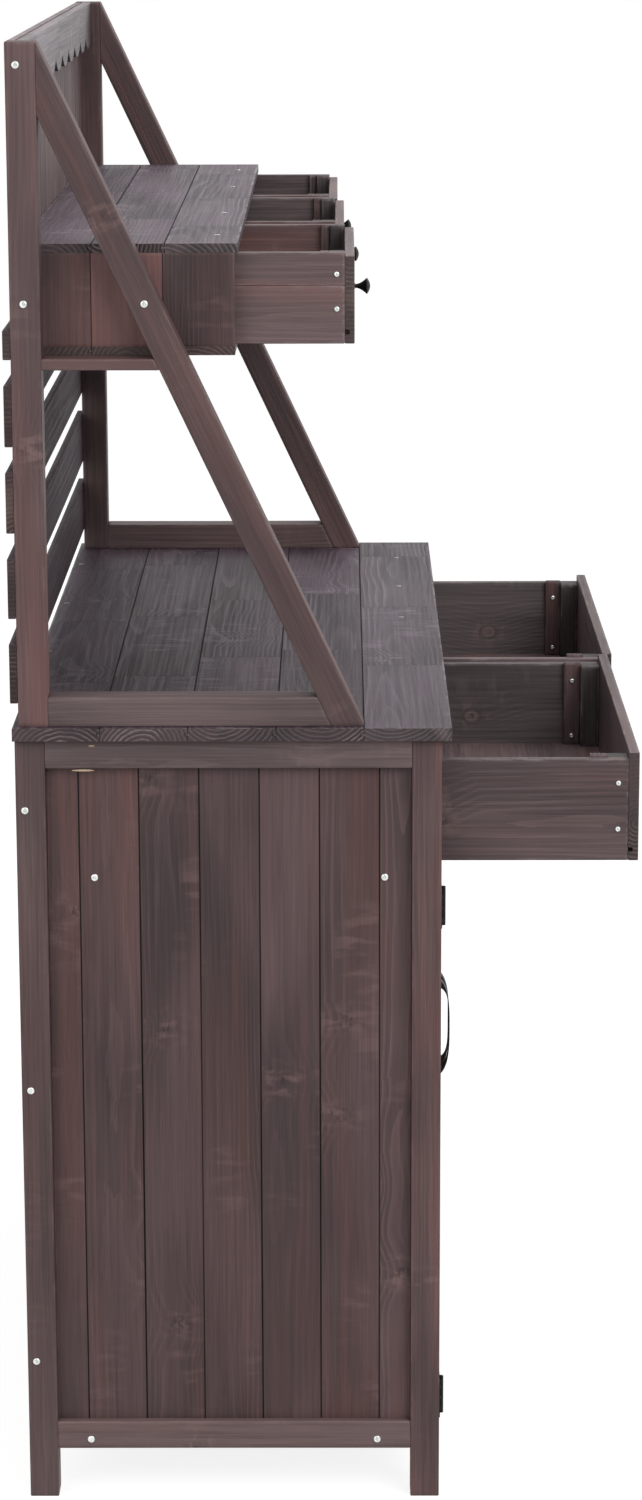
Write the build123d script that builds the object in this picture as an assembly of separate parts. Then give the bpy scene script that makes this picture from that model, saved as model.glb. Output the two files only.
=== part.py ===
"""A free-standing potting bench of stained softwood.

A cabinet with two large drawers above two doors carries a boarded worktop. A hutch on the worktop
holds a shelf box with three small drawers, an open slatted back, an upper back and a valance.
The bench stands on the floor plane with Z up and its front towards -Y. The origin lies on the floor
under the middle of the worktop. All drawers are drawn pulled out, and both doors are drawn shut.
Left and right are those of someone who stands in front of the bench.
"""

from build123d import *
import os
from dataclasses import dataclass
from math import atan2, copysign, cos, pi, sin, tan

# Worktop
worktop_width = 1200.0
worktop_depth = 500.0
worktop_height = 942.0
worktop_thickness = 15.0
worktop_board_count = 5
worktop_end_overhang = 10.0
worktop_front_overhang = 11.0
worktop_back_overhang = 2.0
batten_width = 34.0
batten_thickness = 23.0

# Square lumber of the legs, posts, braces and sills
lumber = 34.0

# Matched boards: visible width, edge joint and the chamfer that makes the groove between two boards
board_cover = 69.0
board_thickness = 10.0
narrowest_board = 25.0
tongue_depth = 4.0
tongue_thickness = 3.0
tongue_clearance = 0.25
board_chamfer = 1.5

# Cabinet ends, back and floor
side_rail_height = 34.0
side_rail_thickness = 11.5
side_rail_setback = 0.5
cabinet_bottom = 61.0
back_batten_height = 34.0
back_batten_thickness = 20.0
back_batten_rise = 111.0
back_batten_drop = 83.0
back_batten_count = 3
floor_cleat_width = 20.0
floor_cleat_height = 24.0
floor_board_count = 5

# Rails, runners and guide that carry the large drawers
front_rail_height = 34.0
front_top_rail_height = 23.0
back_rail_thickness = 23.0
runner_width = 34.0
runner_thickness = 20.0
middle_runner_width = 60.0
guide_thickness = 12.0
guide_height = 20.0

# Hutch frame, slats, upper back and valance
hutch_height = 767.0
hutch_back_inset = 7.0
brace_reach = 359.5
sill_height = 34.0
bearer_thickness = 12.5
bearer_width = 54.0
slat_height = 69.0
slat_thickness = 9.0
slat_count = 4
slat_rise = 27.0
half_slat_height = 33.0
half_slat_lap = 0.8
upper_back_thickness = 8.0
upper_back_drop = 0.5
valance_inset = 12.5
valance_drop = 61.0
valance_scallop = 17.3
valance_lobe_width = 111.0

# Shelf box
shelf_drop = 348.0
shelf_depth = 241.0
shelf_bay_height = 104.5
shelf_bottom_thickness = 10.0
shelf_side_thickness = 10.0
shelf_top_thickness = 10.5
shelf_top_overhang = 3.5
shelf_board_count = 3
divider_thickness = 10.0

# Drawers
drawer_seat_gap = 0.3
drawer_side_gap = 3.0
drawer_front_gap = 3.0
drawer_top_gap = 1.2
drawer_panel_thickness = 4.0
drawer_groove_depth = 5.0
drawer_groove_rise = 11.0
drawer_groove_clearance = 0.15
large_drawer_length = 440.0
large_drawer_left_opened = 228.0
large_drawer_right_opened = 234.0
large_side_height = 120.0
large_front_height = 128.5
large_board_thickness = 12.0
large_front_cleat = 24.0
large_cleat_width = 20.0
large_side_cleat = 21.0
large_cleat_rise = 3.0
small_drawer_length = 225.0
small_drawer_count = 3
small_drawer_left_opened = 134.0
small_drawer_middle_opened = 122.5
small_drawer_right_opened = 114.0
small_drawer_side_gap = 9.0
small_side_height = 102.4
small_front_height = 98.5
small_board_thickness = 11.0
small_front_cleat = 18.0
small_cleat_width = 14.0
small_side_cleat = 10.0
small_cleat_rise = 0.5
side_cleat_thickness = 8.0

# Doors, hinges and handles
door_bottom_lap = 4.0
door_top_lap = 3.0
door_gap = 2.0
door_stop_gap = 1.0
door_meeting_gap = 3.0
ledge_height = 60.0
ledge_thickness = 12.0
ledge_inset = 14.0
ledge_end_distance = 85.0
ledge_count = 3
hinge_inset = 27.5
hinge_leaf_width = 17.0
hinge_leaf_thickness = 1.5
hinge_knuckle_count = 3
hinge_knuckle_length = 15.0
hinge_knuckle_radius = 2.75
hinge_knuckle_gap = 0.35
hinge_running_gap = 0.3
hinge_pin_radius = 1.5
hinge_pin_clearance = 0.05
hinge_pin_head = 0.8
handle_half_length = 67.5
handle_reach = 26.9
handle_squareness = 3.0
handle_gap_half_length = 55.5
handle_gap_reach = 25.4
handle_gap_squareness = 4.1
handle_bow_steps = 24
handle_width = 16.0
handle_edge_distance = 14.0
handle_rise = 341.3

# Trumpet knobs
knob_length = 18.7
knob_drop = 3.0
knob_head_radius = 9.1
knob_stem_radius = 2.4
knob_waist_radius = 4.6
knob_neck_length = 3.0
knob_rim_thickness = 1.5
knob_dome = 3.0

# Screws
screw_head_radius = 4.3
drawer_screw_head_radius = 3.1
screw_head_height = 2.2
screw_head_round = 1.2
screw_recess_radius = 1.4
screw_recess_depth = 0.8
screw_shank_radius = 1.8
screw_hole_clearance = 0.15
leg_screw_length = 50.0
leg_screw_inset = 10.5
panel_screw_length = 30.0
panel_screw_drop = 12.5
panel_screw_front_inset = 31.0
panel_screw_back_inset = 54.0
rail_screw_length = 36.0
rail_screw_inset = 39.5
post_screw_length = 42.0
post_top_screw_drop = 25.0
post_top_screw_depth = 22.0
post_shelf_screw_depth = 18.5
shelf_screw_height = 61.5
large_screw_length = 25.0
large_screw_low = 37.5
large_screw_high = 92.0
large_cleat_screw_low = 27.0
large_cleat_screw_high = 99.0
small_screw_length = 20.0
small_screw_low = 39.0
small_screw_high = 78.0
small_cleat_screw_low = 30.0
small_cleat_screw_high = 60.0
cleat_screw_length = 15.0

# Places that follow from the sizes above
leg_outer_x = worktop_width / 2 - worktop_end_overhang
leg_inner_x = leg_outer_x - lumber
leg_front_y = worktop_front_overhang - worktop_depth / 2
leg_back_y = worktop_depth / 2 - worktop_back_overhang
inner_front_y = leg_front_y + lumber
inner_back_y = leg_back_y - lumber
leg_top = worktop_height - worktop_thickness
drawer_base = leg_top - front_top_rail_height - drawer_top_gap - large_front_height
drawer_seat = drawer_base - drawer_seat_gap
door_bottom = cabinet_bottom + door_bottom_lap
door_height = drawer_seat - door_top_lap - door_bottom
side_face_x = leg_outer_x - side_rail_setback - side_rail_thickness
side_inner_x = side_face_x - board_thickness
back_face_y = leg_back_y - back_batten_thickness
back_inner_y = back_face_y - board_thickness
door_back_y = leg_front_y + board_thickness
front_rail_y = door_back_y + door_stop_gap
runner_back_y = inner_back_y - back_rail_thickness
hutch_top = worktop_height + hutch_height
post_back_y = worktop_depth / 2 - hutch_back_inset
post_front_y = post_back_y - lumber
brace_lean = atan2(brace_reach, hutch_height)
upper_back_face_y = post_back_y - upper_back_thickness
shelf_front_y = upper_back_face_y - shelf_depth
shelf_bottom = hutch_top - shelf_drop
shelf_floor = shelf_bottom + shelf_bottom_thickness
shelf_ceiling = shelf_floor + shelf_bay_height
shelf_inner_x = leg_inner_x - shelf_side_thickness
hinge_axis_x = leg_inner_x - door_gap / 2
hinge_axis_y = leg_front_y - hinge_running_gap - hinge_knuckle_radius

pieces: dict[str, list[Solid]] = {}


def add(node, *shapes):
    """Put every solid of the given shapes into a node."""
    pieces.setdefault(node, []).extend(solid for shape in shapes for solid in shape.solids())


def block(x, y, z):
    """A square-edged bar between the given (low, high) pairs."""
    size = (x[1] - x[0], y[1] - y[0], z[1] - z[0])
    return Pos(x[0], y[0], z[0]) * Box(*size, align=(Align.MIN, Align.MIN, Align.MIN))


def prism(plane, outline, length):
    """An outline on a plane, carried along the plane's normal."""
    return extrude(plane * outline, amount=length, dir=plane.z_dir)


def mirrored(shape):
    """The same piece at the other end of the bench."""
    return mirror(shape, about=Plane.YZ)


def both_ends(shape):
    """A piece of the left end and its mirror image at the right end."""
    return [shape, mirrored(shape)]


def even_edges(start, end, count):
    """Edges of equal boards that fill a span."""
    return [start + (end - start) * step / count for step in range(count + 1)]


def centred_edges(start, end):
    """Edges of whole boards in the middle of a span, with an equal part board at each side."""
    whole = int((end - start - 2 * narrowest_board) // board_cover)
    first = (start + end - whole * board_cover) / 2
    return [start, *(first + step * board_cover for step in range(whole + 1)), end]


def matched_outline(left, right, thickness, has_tongue, has_groove):
    """Cross-section of a matched board: face on the x axis, tongue on the right, groove on the left."""
    low = (thickness - tongue_thickness) / 2
    high = (thickness + tongue_thickness) / 2
    points = [(left + board_chamfer, 0), (right - board_chamfer, 0), (right, board_chamfer)]
    if has_tongue:
        tip = right + tongue_depth
        points += [(right, low), (tip, low), (tip, high), (right, high)]
    points += [(right, thickness), (left, thickness)]
    if has_groove:
        root = left + tongue_depth + tongue_clearance
        top = high + tongue_clearance
        base = low - tongue_clearance
        points += [(left, top), (root, top), (root, base), (left, base)]
    points.append((left, board_chamfer))
    return Polygon(*points)


def board_row(plane, edges, thickness, length):
    """Matched boards side by side: x across the row, y from face to back, z along the boards."""
    last = len(edges) - 2
    return [
        prism(plane, matched_outline(left, right, thickness, index < last, index > 0), length)
        for index, (left, right) in enumerate(zip(edges, edges[1:]))
    ]


def screw(spot, outward, length, head_radius):
    """A round-headed screw whose head sits on the surface at the spot."""
    head = Pos(0, 0, screw_head_height / 2) * Cylinder(head_radius, screw_head_height)
    head = fillet(head.edges().sort_by(Axis.Z)[-1], screw_head_round)
    recess_middle = screw_head_height - screw_recess_depth / 2
    head -= Pos(0, 0, recess_middle) * Cylinder(screw_recess_radius, screw_recess_depth)
    shank = Pos(0, 0, -length / 2) * Cylinder(screw_shank_radius, length)
    return Plane(origin=spot, z_dir=outward) * (head + shank)


def boxes_meet(one, other):
    """Whether two bounding boxes share any space."""
    lows = zip(one.min, other.max)
    highs = zip(other.min, one.max)
    return all(low < high for low, high in (*lows, *highs))


def drive_screw(node, spot, outward, length, through, head_radius=screw_head_radius):
    """Add a screw to a node and cut its hole in the nodes that it goes through."""
    add(node, screw(spot, outward, length, head_radius))
    bore = Cylinder(screw_shank_radius + screw_hole_clearance, length + screw_hole_clearance)
    hole = Plane(origin=spot, z_dir=outward) * (Pos(0, 0, -(length + screw_hole_clearance) / 2) * bore)
    reach = hole.bounding_box()
    for name in through:
        solids = []
        for solid in pieces[name]:
            meets = boxes_meet(solid.bounding_box(), reach)
            solids.extend((solid - hole).solids() if meets else [solid])
        pieces[name] = solids


def drive_end_screws(spot, length, through):
    """The same frame screw in both ends of the bench, given at the left end."""
    x, y, z = spot
    drive_screw("frame_screws", (x, y, z), (-1, 0, 0), length, through)
    drive_screw("frame_screws", (-x, y, z), (1, 0, 0), length, through)


def make_cabinet_frame():
    """Legs, end rails and end boards."""
    front = (leg_front_y, inner_front_y)
    back = (inner_back_y, leg_back_y)
    for place, y in (("front", front), ("back", back)):
        leg = block((-leg_outer_x, -leg_inner_x), y, (0, leg_top))
        add(f"leg_{place}_left", leg)
        add(f"leg_{place}_right", mirrored(leg))
    rail_x = (-leg_outer_x + side_rail_setback, -side_face_x)
    rail_y = (inner_front_y, inner_back_y)
    for low in (leg_top - side_rail_height, cabinet_bottom):
        add("side_rails", *both_ends(block(rail_x, rail_y, (low, low + side_rail_height))))
    face = Plane(origin=(-side_face_x, 0, leg_top), x_dir=(0, 1, 0), z_dir=(0, 0, -1))
    edges = centred_edges(inner_front_y, inner_back_y)
    for board in board_row(face, edges, board_thickness, leg_top - cabinet_bottom):
        add("side_boards", *both_ends(board))


def back_batten_middles():
    """Heights of the middles of the lower, middle and upper back battens."""
    low = cabinet_bottom + back_batten_rise
    high = leg_top - back_batten_drop
    return even_edges(low, high, back_batten_count - 1)


def make_cabinet_back():
    """Back boards between the back legs, with battens across their outside."""
    for middle in back_batten_middles():
        height = (middle - back_batten_height / 2, middle + back_batten_height / 2)
        add("back_battens", block((-leg_inner_x, leg_inner_x), (back_face_y, leg_back_y), height))
    face = Plane(origin=(0, back_face_y, leg_top), x_dir=(1, 0, 0), z_dir=(0, 0, -1))
    edges = even_edges(-leg_inner_x, leg_inner_x, round(2 * leg_inner_x / board_cover))
    add("back_boards", *board_row(face, edges, board_thickness, leg_top - cabinet_bottom))


def make_cabinet_floor():
    """Floor boards on cleats behind the front bottom rail."""
    cleat_z = (cabinet_bottom, cabinet_bottom + floor_cleat_height)
    left = (-side_inner_x, -side_inner_x + floor_cleat_width)
    middle = (-floor_cleat_width / 2, floor_cleat_width / 2)
    add("floor_cleats", *both_ends(block(left, (inner_front_y, inner_back_y), cleat_z)))
    add("floor_cleats", block(middle, (inner_front_y, back_inner_y), cleat_z))
    top = cleat_z[1] + board_thickness
    face = Plane(origin=(side_inner_x, 0, top), x_dir=(0, 1, 0), z_dir=(-1, 0, 0))
    edges = even_edges(inner_front_y, inner_back_y, floor_board_count)
    add("floor_boards", *board_row(face, edges, board_thickness, 2 * side_inner_x))


def make_drawer_carriers():
    """Cross rails, runners and the guide that carry the large drawers."""
    across = (-leg_inner_x, leg_inner_x)
    behind_doors = (front_rail_y, inner_front_y)
    seat = (drawer_seat - front_rail_height, drawer_seat)
    top_rail = (leg_top - front_top_rail_height, leg_top)
    bottom_rail = (cabinet_bottom, cabinet_bottom + front_rail_height)
    add("cross_rails", block(across, (leg_front_y, inner_front_y), top_rail))
    add("cross_rails", block(across, behind_doors, seat))
    add("cross_rails", block(across, behind_doors, bottom_rail))
    add("cross_rails", block((-side_inner_x, side_inner_x), (runner_back_y, inner_back_y), seat))
    runner_y = (inner_front_y, runner_back_y)
    runner_z = (drawer_seat - runner_thickness, drawer_seat)
    left = (-side_inner_x, -side_inner_x + runner_width)
    middle = (-middle_runner_width / 2, middle_runner_width / 2)
    add("drawer_runners", *both_ends(block(left, runner_y, runner_z)))
    add("drawer_runners", block(middle, runner_y, runner_z))
    guide_x = (-guide_thickness / 2, guide_thickness / 2)
    add("drawer_runners", block(guide_x, runner_y, (drawer_seat, drawer_seat + guide_height)))


def make_worktop():
    """Worktop boards and the battens below them."""
    batten_z = (leg_top - batten_thickness, leg_top)
    left = (-side_inner_x, -side_inner_x + batten_width)
    middle = (-batten_width / 2, batten_width / 2)
    add("worktop_battens", *both_ends(block(left, (inner_front_y, inner_back_y), batten_z)))
    add("worktop_battens", block(middle, (inner_front_y, back_inner_y), batten_z))
    face = Plane(origin=(worktop_width / 2, 0, worktop_height), x_dir=(0, 1, 0), z_dir=(-1, 0, 0))
    edges = even_edges(-worktop_depth / 2, worktop_depth / 2, worktop_board_count)
    add("worktop_boards", *board_row(face, edges, worktop_thickness, worktop_width))


def brace_back_y(height):
    """Depth at which the rear face of a brace lies at a height."""
    front = post_front_y - (hutch_top - height) * tan(brace_lean)
    return front + lumber / cos(brace_lean)


def make_hutch_frame():
    """Posts, sills, braces and shelf bearers of the two hutch ends."""
    end = Plane.YZ.offset(-leg_outer_x)
    post_x = (-leg_outer_x, -leg_inner_x)
    post = block(post_x, (post_front_y, post_back_y), (worktop_height, hutch_top))
    add("hutch_posts", *both_ends(post))
    foot = post_front_y - brace_reach
    meeting = hutch_top - lumber / cos(brace_lean) / tan(brace_lean)
    brace = Polygon(
        (foot, worktop_height),
        (brace_back_y(worktop_height), worktop_height),
        (post_front_y, meeting),
        (post_front_y, hutch_top),
    )
    add("hutch_braces", *both_ends(prism(end, brace, lumber)))
    for low, thickness, width in (
        (worktop_height, sill_height, lumber),
        (shelf_bottom - bearer_thickness, bearer_thickness, bearer_width),
    ):
        high = low + thickness
        rail = Polygon(
            (brace_back_y(low), low), (post_front_y, low), (post_front_y, high), (brace_back_y(high), high)
        )
        add("hutch_rails", *both_ends(prism(end, rail, width)))


def make_hutch_back():
    """Open slats, upper back boards and the scalloped valance."""
    slat_x = (-leg_outer_x, leg_outer_x)
    slat_y = (post_back_y, post_back_y + slat_thickness)
    lowest = worktop_height + slat_rise
    *slat_lows, half_slat_low = even_edges(lowest, shelf_bottom - half_slat_lap, slat_count)
    for low in slat_lows:
        add("back_slats", block(slat_x, slat_y, (low, low + slat_height)))
    add("back_slats", block(slat_x, slat_y, (half_slat_low, half_slat_low + half_slat_height)))
    face = Plane(origin=(0, upper_back_face_y, shelf_bottom), x_dir=(1, 0, 0), z_dir=(0, 0, 1))
    edges = even_edges(-leg_inner_x, leg_inner_x, round(2 * leg_inner_x / board_cover))
    height = hutch_top - upper_back_drop - shelf_bottom
    add("upper_back_boards", *board_row(face, edges, upper_back_thickness, height))
    add("valance", valance())


def valance():
    """The board between the post tops, set back from their fronts; its lower edge is a row of lobes."""
    low = hutch_top - valance_drop
    notch = low + valance_scallop
    cusps = even_edges(-leg_inner_x, leg_inner_x, round(2 * leg_inner_x / valance_lobe_width))
    lobes = [
        ThreePointArc((left, notch), ((left + right) / 2, low), (right, notch))
        for left, right in zip(cusps, cusps[1:])
    ]
    rim = Polyline(
        (leg_inner_x, notch), (leg_inner_x, hutch_top), (-leg_inner_x, hutch_top), (-leg_inner_x, notch)
    )
    outline = make_face([*lobes, rim])
    back = Plane(origin=(0, upper_back_face_y, 0), x_dir=(1, 0, 0), z_dir=(0, -1, 0))
    return prism(back, outline, upper_back_face_y - post_front_y - valance_inset)


def make_shelf_box():
    """Bottom, ends, dividers and top of the box that holds the small drawers."""
    along = 2 * leg_inner_x
    edges = even_edges(shelf_front_y, upper_back_face_y, shelf_board_count)
    floor_face = Plane(origin=(leg_inner_x, 0, shelf_floor), x_dir=(0, 1, 0), z_dir=(-1, 0, 0))
    add("shelf_bottom", *board_row(floor_face, edges, shelf_bottom_thickness, along))
    end_face = Plane(origin=(-leg_inner_x, 0, shelf_ceiling), x_dir=(0, 1, 0), z_dir=(0, 0, -1))
    for board in board_row(end_face, edges, shelf_side_thickness, shelf_bay_height):
        add("shelf_ends", *both_ends(board))
    bay = shelf_bay_width()
    for index in range(1, small_drawer_count):
        left = -shelf_inner_x + index * (bay + divider_thickness) - divider_thickness
        width = (left, left + divider_thickness)
        add("shelf_dividers", block(width, (shelf_front_y, upper_back_face_y), (shelf_floor, shelf_ceiling)))
    top = shelf_ceiling + shelf_top_thickness
    top_face = Plane(origin=(leg_inner_x, 0, top), x_dir=(0, 1, 0), z_dir=(-1, 0, 0))
    top_edges = even_edges(shelf_front_y - shelf_top_overhang, upper_back_face_y, shelf_board_count)
    add("shelf_top", *board_row(top_face, top_edges, shelf_top_thickness, along))


def shelf_bay_width():
    """Clear width of each small drawer's bay."""
    dividers = small_drawer_count - 1
    return (2 * shelf_inner_x - dividers * divider_thickness) / small_drawer_count


@dataclass
class Drawer:
    """A drawer as it stands pulled out; face is where its front's outer face is."""

    name: str
    box: tuple
    front: tuple
    face: float
    base: float
    length: float
    board: float
    side_height: float
    front_height: float
    front_cleat: float
    cleat_width: float
    side_cleat: float
    cleat_rise: float
    screw_length: float
    screw_heights: tuple
    cleat_screw_heights: tuple

    def build(self):
        """All pieces of the drawer."""
        self.make_front()
        self.make_box()
        self.make_panel()
        knob_z = self.base + self.front_height / 2 - knob_drop
        add(f"{self.name}_knob", knob(sum(self.front) / 2, self.face, knob_z))
        self.drive_screws()

    @property
    def front_back(self):
        """The front board's rear face, which the sides butt against."""
        return self.face + self.board

    @property
    def rear(self):
        """The outer face of the back board."""
        return self.face + self.length

    @property
    def inner(self):
        """The inner faces of the two sides."""
        return (self.box[0] + self.board, self.box[1] - self.board)

    @property
    def panel_space(self):
        """X, Y and Z ranges of the grooves that hold the bottom panel."""
        x = (self.inner[0] - drawer_groove_depth, self.inner[1] + drawer_groove_depth)
        y = (self.front_back - drawer_groove_depth, self.rear - self.board + drawer_groove_depth)
        low = self.base + drawer_groove_rise
        return x, y, (low, low + drawer_panel_thickness + 2 * drawer_groove_clearance)

    def make_front(self):
        """The front board, with the groove for the bottom panel open at both ends."""
        _, y, z = self.panel_space
        board = block(self.front, (self.face, self.front_back), (self.base, self.base + self.front_height))
        add(f"{self.name}_front", board - block(self.front, (y[0], self.front_back), z))

    def make_box(self):
        """Sides, back and corner cleats."""
        node = f"{self.name}_box"
        x, y, z = self.panel_space
        groove = block(x, y, z)
        height = (self.base, self.base + self.side_height)
        back_y = (self.rear - self.board, self.rear)
        add(node, block(self.inner, back_y, height) - groove)
        front_cleat_y = (self.front_back, self.front_back + self.front_cleat)
        side_cleat_y = (front_cleat_y[1], front_cleat_y[1] + self.side_cleat)
        cleat_z = (z[1], height[1])
        tall_cleat_z = (z[1], height[1] + self.cleat_rise)
        for outer, inward in zip(self.box, (1, -1)):
            inner = outer + inward * self.board
            side_x = sorted((outer, inner))
            front_cleat_x = sorted((inner, inner + inward * self.cleat_width))
            side_cleat_x = sorted((inner, inner + inward * side_cleat_thickness))
            add(node, block(side_x, (self.front_back, self.rear), height) - groove)
            add(node, block(front_cleat_x, front_cleat_y, cleat_z))
            add(node, block(side_cleat_x, side_cleat_y, tall_cleat_z))

    def make_panel(self):
        """The bottom panel in its grooves."""
        x, y, z = ((low + drawer_groove_clearance, high - drawer_groove_clearance)
                   for low, high in self.panel_space)
        add(f"{self.name}_bottom", block(x, y, z))

    def drive_screws(self):
        """Screws through the sides into the front cleats, and through the side cleats into the sides."""
        screws = f"{self.name}_screws"
        through = [f"{self.name}_box"]
        head = drawer_screw_head_radius
        side_y = self.front_back + self.front_cleat / 2
        cleat_y = self.front_back + self.front_cleat + self.side_cleat / 2
        for outer, inward in zip(self.box, (1, -1)):
            for height in self.screw_heights:
                spot = (outer, side_y, self.base + height)
                drive_screw(screws, spot, (-inward, 0, 0), self.screw_length, through, head)
            cleat_face = outer + inward * (self.board + side_cleat_thickness)
            for height in self.cleat_screw_heights:
                spot = (cleat_face, cleat_y, self.base + height)
                drive_screw(screws, spot, (inward, 0, 0), cleat_screw_length, through, head)


def make_large_drawers():
    """Two drawers side by side under the worktop."""
    outer = leg_inner_x - drawer_side_gap
    inner = guide_thickness / 2 + drawer_side_gap
    front_inner = drawer_front_gap / 2
    front_outer = leg_inner_x - door_gap
    for side, sign, opened in (
        ("left", -1, large_drawer_left_opened),
        ("right", 1, large_drawer_right_opened),
    ):
        Drawer(
            name=f"drawer_large_{side}",
            box=tuple(sorted((sign * outer, sign * inner))),
            front=tuple(sorted((sign * front_outer, sign * front_inner))),
            face=leg_front_y - opened,
            base=drawer_base,
            length=large_drawer_length,
            board=large_board_thickness,
            side_height=large_side_height,
            front_height=large_front_height,
            front_cleat=large_front_cleat,
            cleat_width=large_cleat_width,
            side_cleat=large_side_cleat,
            cleat_rise=large_cleat_rise,
            screw_length=large_screw_length,
            screw_heights=(large_screw_low, large_screw_high),
            cleat_screw_heights=(large_cleat_screw_low, large_cleat_screw_high),
        ).build()


def make_small_drawers():
    """Three drawers in the bays of the shelf box."""
    bay = shelf_bay_width()
    for index, (place, opened) in enumerate(
        (
            ("left", small_drawer_left_opened),
            ("middle", small_drawer_middle_opened),
            ("right", small_drawer_right_opened),
        )
    ):
        left = -shelf_inner_x + index * (bay + divider_thickness) + small_drawer_side_gap
        width = (left, left + bay - 2 * small_drawer_side_gap)
        Drawer(
            name=f"drawer_small_{place}",
            box=width,
            front=width,
            face=shelf_front_y - opened,
            base=shelf_floor + drawer_seat_gap,
            length=small_drawer_length,
            board=small_board_thickness,
            side_height=small_side_height,
            front_height=small_front_height,
            front_cleat=small_front_cleat,
            cleat_width=small_cleat_width,
            side_cleat=small_side_cleat,
            cleat_rise=small_cleat_rise,
            screw_length=small_screw_length,
            screw_heights=(small_screw_low, small_screw_high),
            cleat_screw_heights=(small_cleat_screw_low, small_cleat_screw_high),
        ).build()


def knob(x, y, z):
    """A trumpet knob on a front's outer face: a straight neck, a flare, a rim and a low dome."""
    flare_end = knob_length - knob_dome - knob_rim_thickness
    flare_middle = (knob_neck_length + flare_end) / 2
    outline = make_face(
        [
            Polyline((0, 0), (knob_stem_radius, 0), (knob_stem_radius, knob_neck_length)),
            ThreePointArc(
                (knob_stem_radius, knob_neck_length),
                (knob_waist_radius, flare_middle),
                (knob_head_radius, flare_end),
            ),
            Line((knob_head_radius, flare_end), (knob_head_radius, flare_end + knob_rim_thickness)),
            RadiusArc(
                (knob_head_radius, flare_end + knob_rim_thickness), (0, knob_length), knob_dome_radius()
            ),
            Line((0, knob_length), (0, 0)),
        ]
    )
    plane = Plane(origin=(x, y, z), x_dir=(1, 0, 0), z_dir=(0, 0, -1))
    return revolve(plane * outline, axis=Axis((x, y, z), (0, -1, 0)))


def knob_dome_radius():
    """Radius of the arc that rises by the dome's height over the head's radius."""
    return -(knob_head_radius**2 + knob_dome**2) / (2 * knob_dome)


def make_doors():
    """Boards, ledges, handle and hinges of the left door, and their mirror images on the right."""
    edge = leg_inner_x - door_gap
    meeting = door_meeting_gap / 2
    face = Plane(origin=(0, leg_front_y, door_bottom), x_dir=(1, 0, 0), z_dir=(0, 0, 1))
    edges = even_edges(-edge, -meeting, round((edge - meeting) / board_cover))
    left = {
        "boards": board_row(face, edges, board_thickness, door_height),
        "ledges": door_ledges(-edge, -meeting),
        "handle": [door_handle(-meeting - handle_edge_distance)],
        "hinge_leaves": [door_leaf(low) for low in hinge_bottoms()],
    }
    for name, shapes in left.items():
        add(f"door_left_{name}", *shapes)
        add(f"door_right_{name}", *(mirrored(shape) for shape in shapes))
    for low in hinge_bottoms():
        add("hinge_frame_leaves", *both_ends(frame_leaf(low)))
        add("hinge_pins", *both_ends(hinge_pin(low)))


def door_ledges(left, right):
    """Flat battens that tie the boards together on the inside of a door."""
    ledge_y = (door_back_y, door_back_y + ledge_thickness)
    ledge_x = (left + ledge_inset, right - ledge_inset)
    lowest = door_bottom + ledge_end_distance
    highest = door_bottom + door_height - ledge_end_distance
    middles = even_edges(lowest, highest, ledge_count - 1)
    return [
        block(ledge_x, ledge_y, (middle - ledge_height / 2, middle + ledge_height / 2)) for middle in middles
    ]


def bow(half_length, reach, squareness):
    """Points over half an ellipse whose shoulders are squared off, from one foot to the other."""
    points = []
    for step in range(handle_bow_steps + 1):
        turn = pi * step / handle_bow_steps
        along = half_length * copysign(abs(cos(turn)) ** (2 / squareness), cos(turn))
        points.append((along, reach * abs(sin(turn)) ** (2 / squareness)))
    return points


def door_handle(middle):
    """A bow handle that stands on the door's face: thick feet, and a thin strap to pull."""
    corner = (middle - handle_width / 2, leg_front_y, door_bottom + handle_rise)
    plane = Plane(origin=corner, x_dir=(0, 0, 1), z_dir=(1, 0, 0))
    outer = bow(handle_half_length, handle_reach, handle_squareness)
    inner = bow(handle_gap_half_length, handle_gap_reach, handle_gap_squareness)
    outline = make_face(
        [Spline(*outer), Line(outer[-1], inner[-1]), Spline(*inner), Line(inner[0], outer[0])]
    )
    return prism(plane, outline, handle_width)


def hinge_height():
    """Overall height of a hinge's row of barrels."""
    return hinge_knuckle_count * (hinge_knuckle_length + hinge_knuckle_gap) - hinge_knuckle_gap


def hinge_bottoms():
    """Heights of the lower ends of a door's two hinges."""
    top = door_bottom + door_height - hinge_inset - hinge_height()
    return (door_bottom + hinge_inset, top)


def knuckle(step, low):
    """One barrel of the left hinge, with its bore; step counts barrels from the bottom."""
    bottom = low + step * (hinge_knuckle_length + hinge_knuckle_gap)
    middle = Pos(-hinge_axis_x, hinge_axis_y, bottom + hinge_knuckle_length / 2)
    bore_radius = hinge_pin_radius + hinge_pin_clearance
    barrel = Cylinder(hinge_knuckle_radius, hinge_knuckle_length)
    return middle * (barrel - Cylinder(bore_radius, hinge_knuckle_length)), bottom


def hinge_leaf(low, steps, side):
    """A flat leaf on one side of the pin, joined to its own barrels by short tabs."""
    clear = hinge_knuckle_radius + hinge_running_gap
    root = hinge_pin_radius + hinge_pin_clearance
    plate_y = (leg_front_y - hinge_leaf_thickness, leg_front_y)
    plate_x = sorted((-hinge_axis_x + side * clear, -hinge_axis_x + side * hinge_leaf_width))
    leaf = block(plate_x, plate_y, (low, low + hinge_height()))
    tab_x = sorted((-hinge_axis_x + side * root, -hinge_axis_x + side * clear))
    for step in steps:
        barrel, bottom = knuckle(step, low)
        tab_y = (plate_y[0], leg_front_y)
        leaf += block(tab_x, tab_y, (bottom, bottom + hinge_knuckle_length)) + barrel
    return leaf


def frame_leaf(low):
    """The leaf on the leg, with the bottom barrel and every second one above it."""
    return hinge_leaf(low, range(0, hinge_knuckle_count, 2), -1)


def door_leaf(low):
    """The leaf on the door, with the barrels between those of the leg."""
    return hinge_leaf(low, range(1, hinge_knuckle_count, 2), 1)


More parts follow.
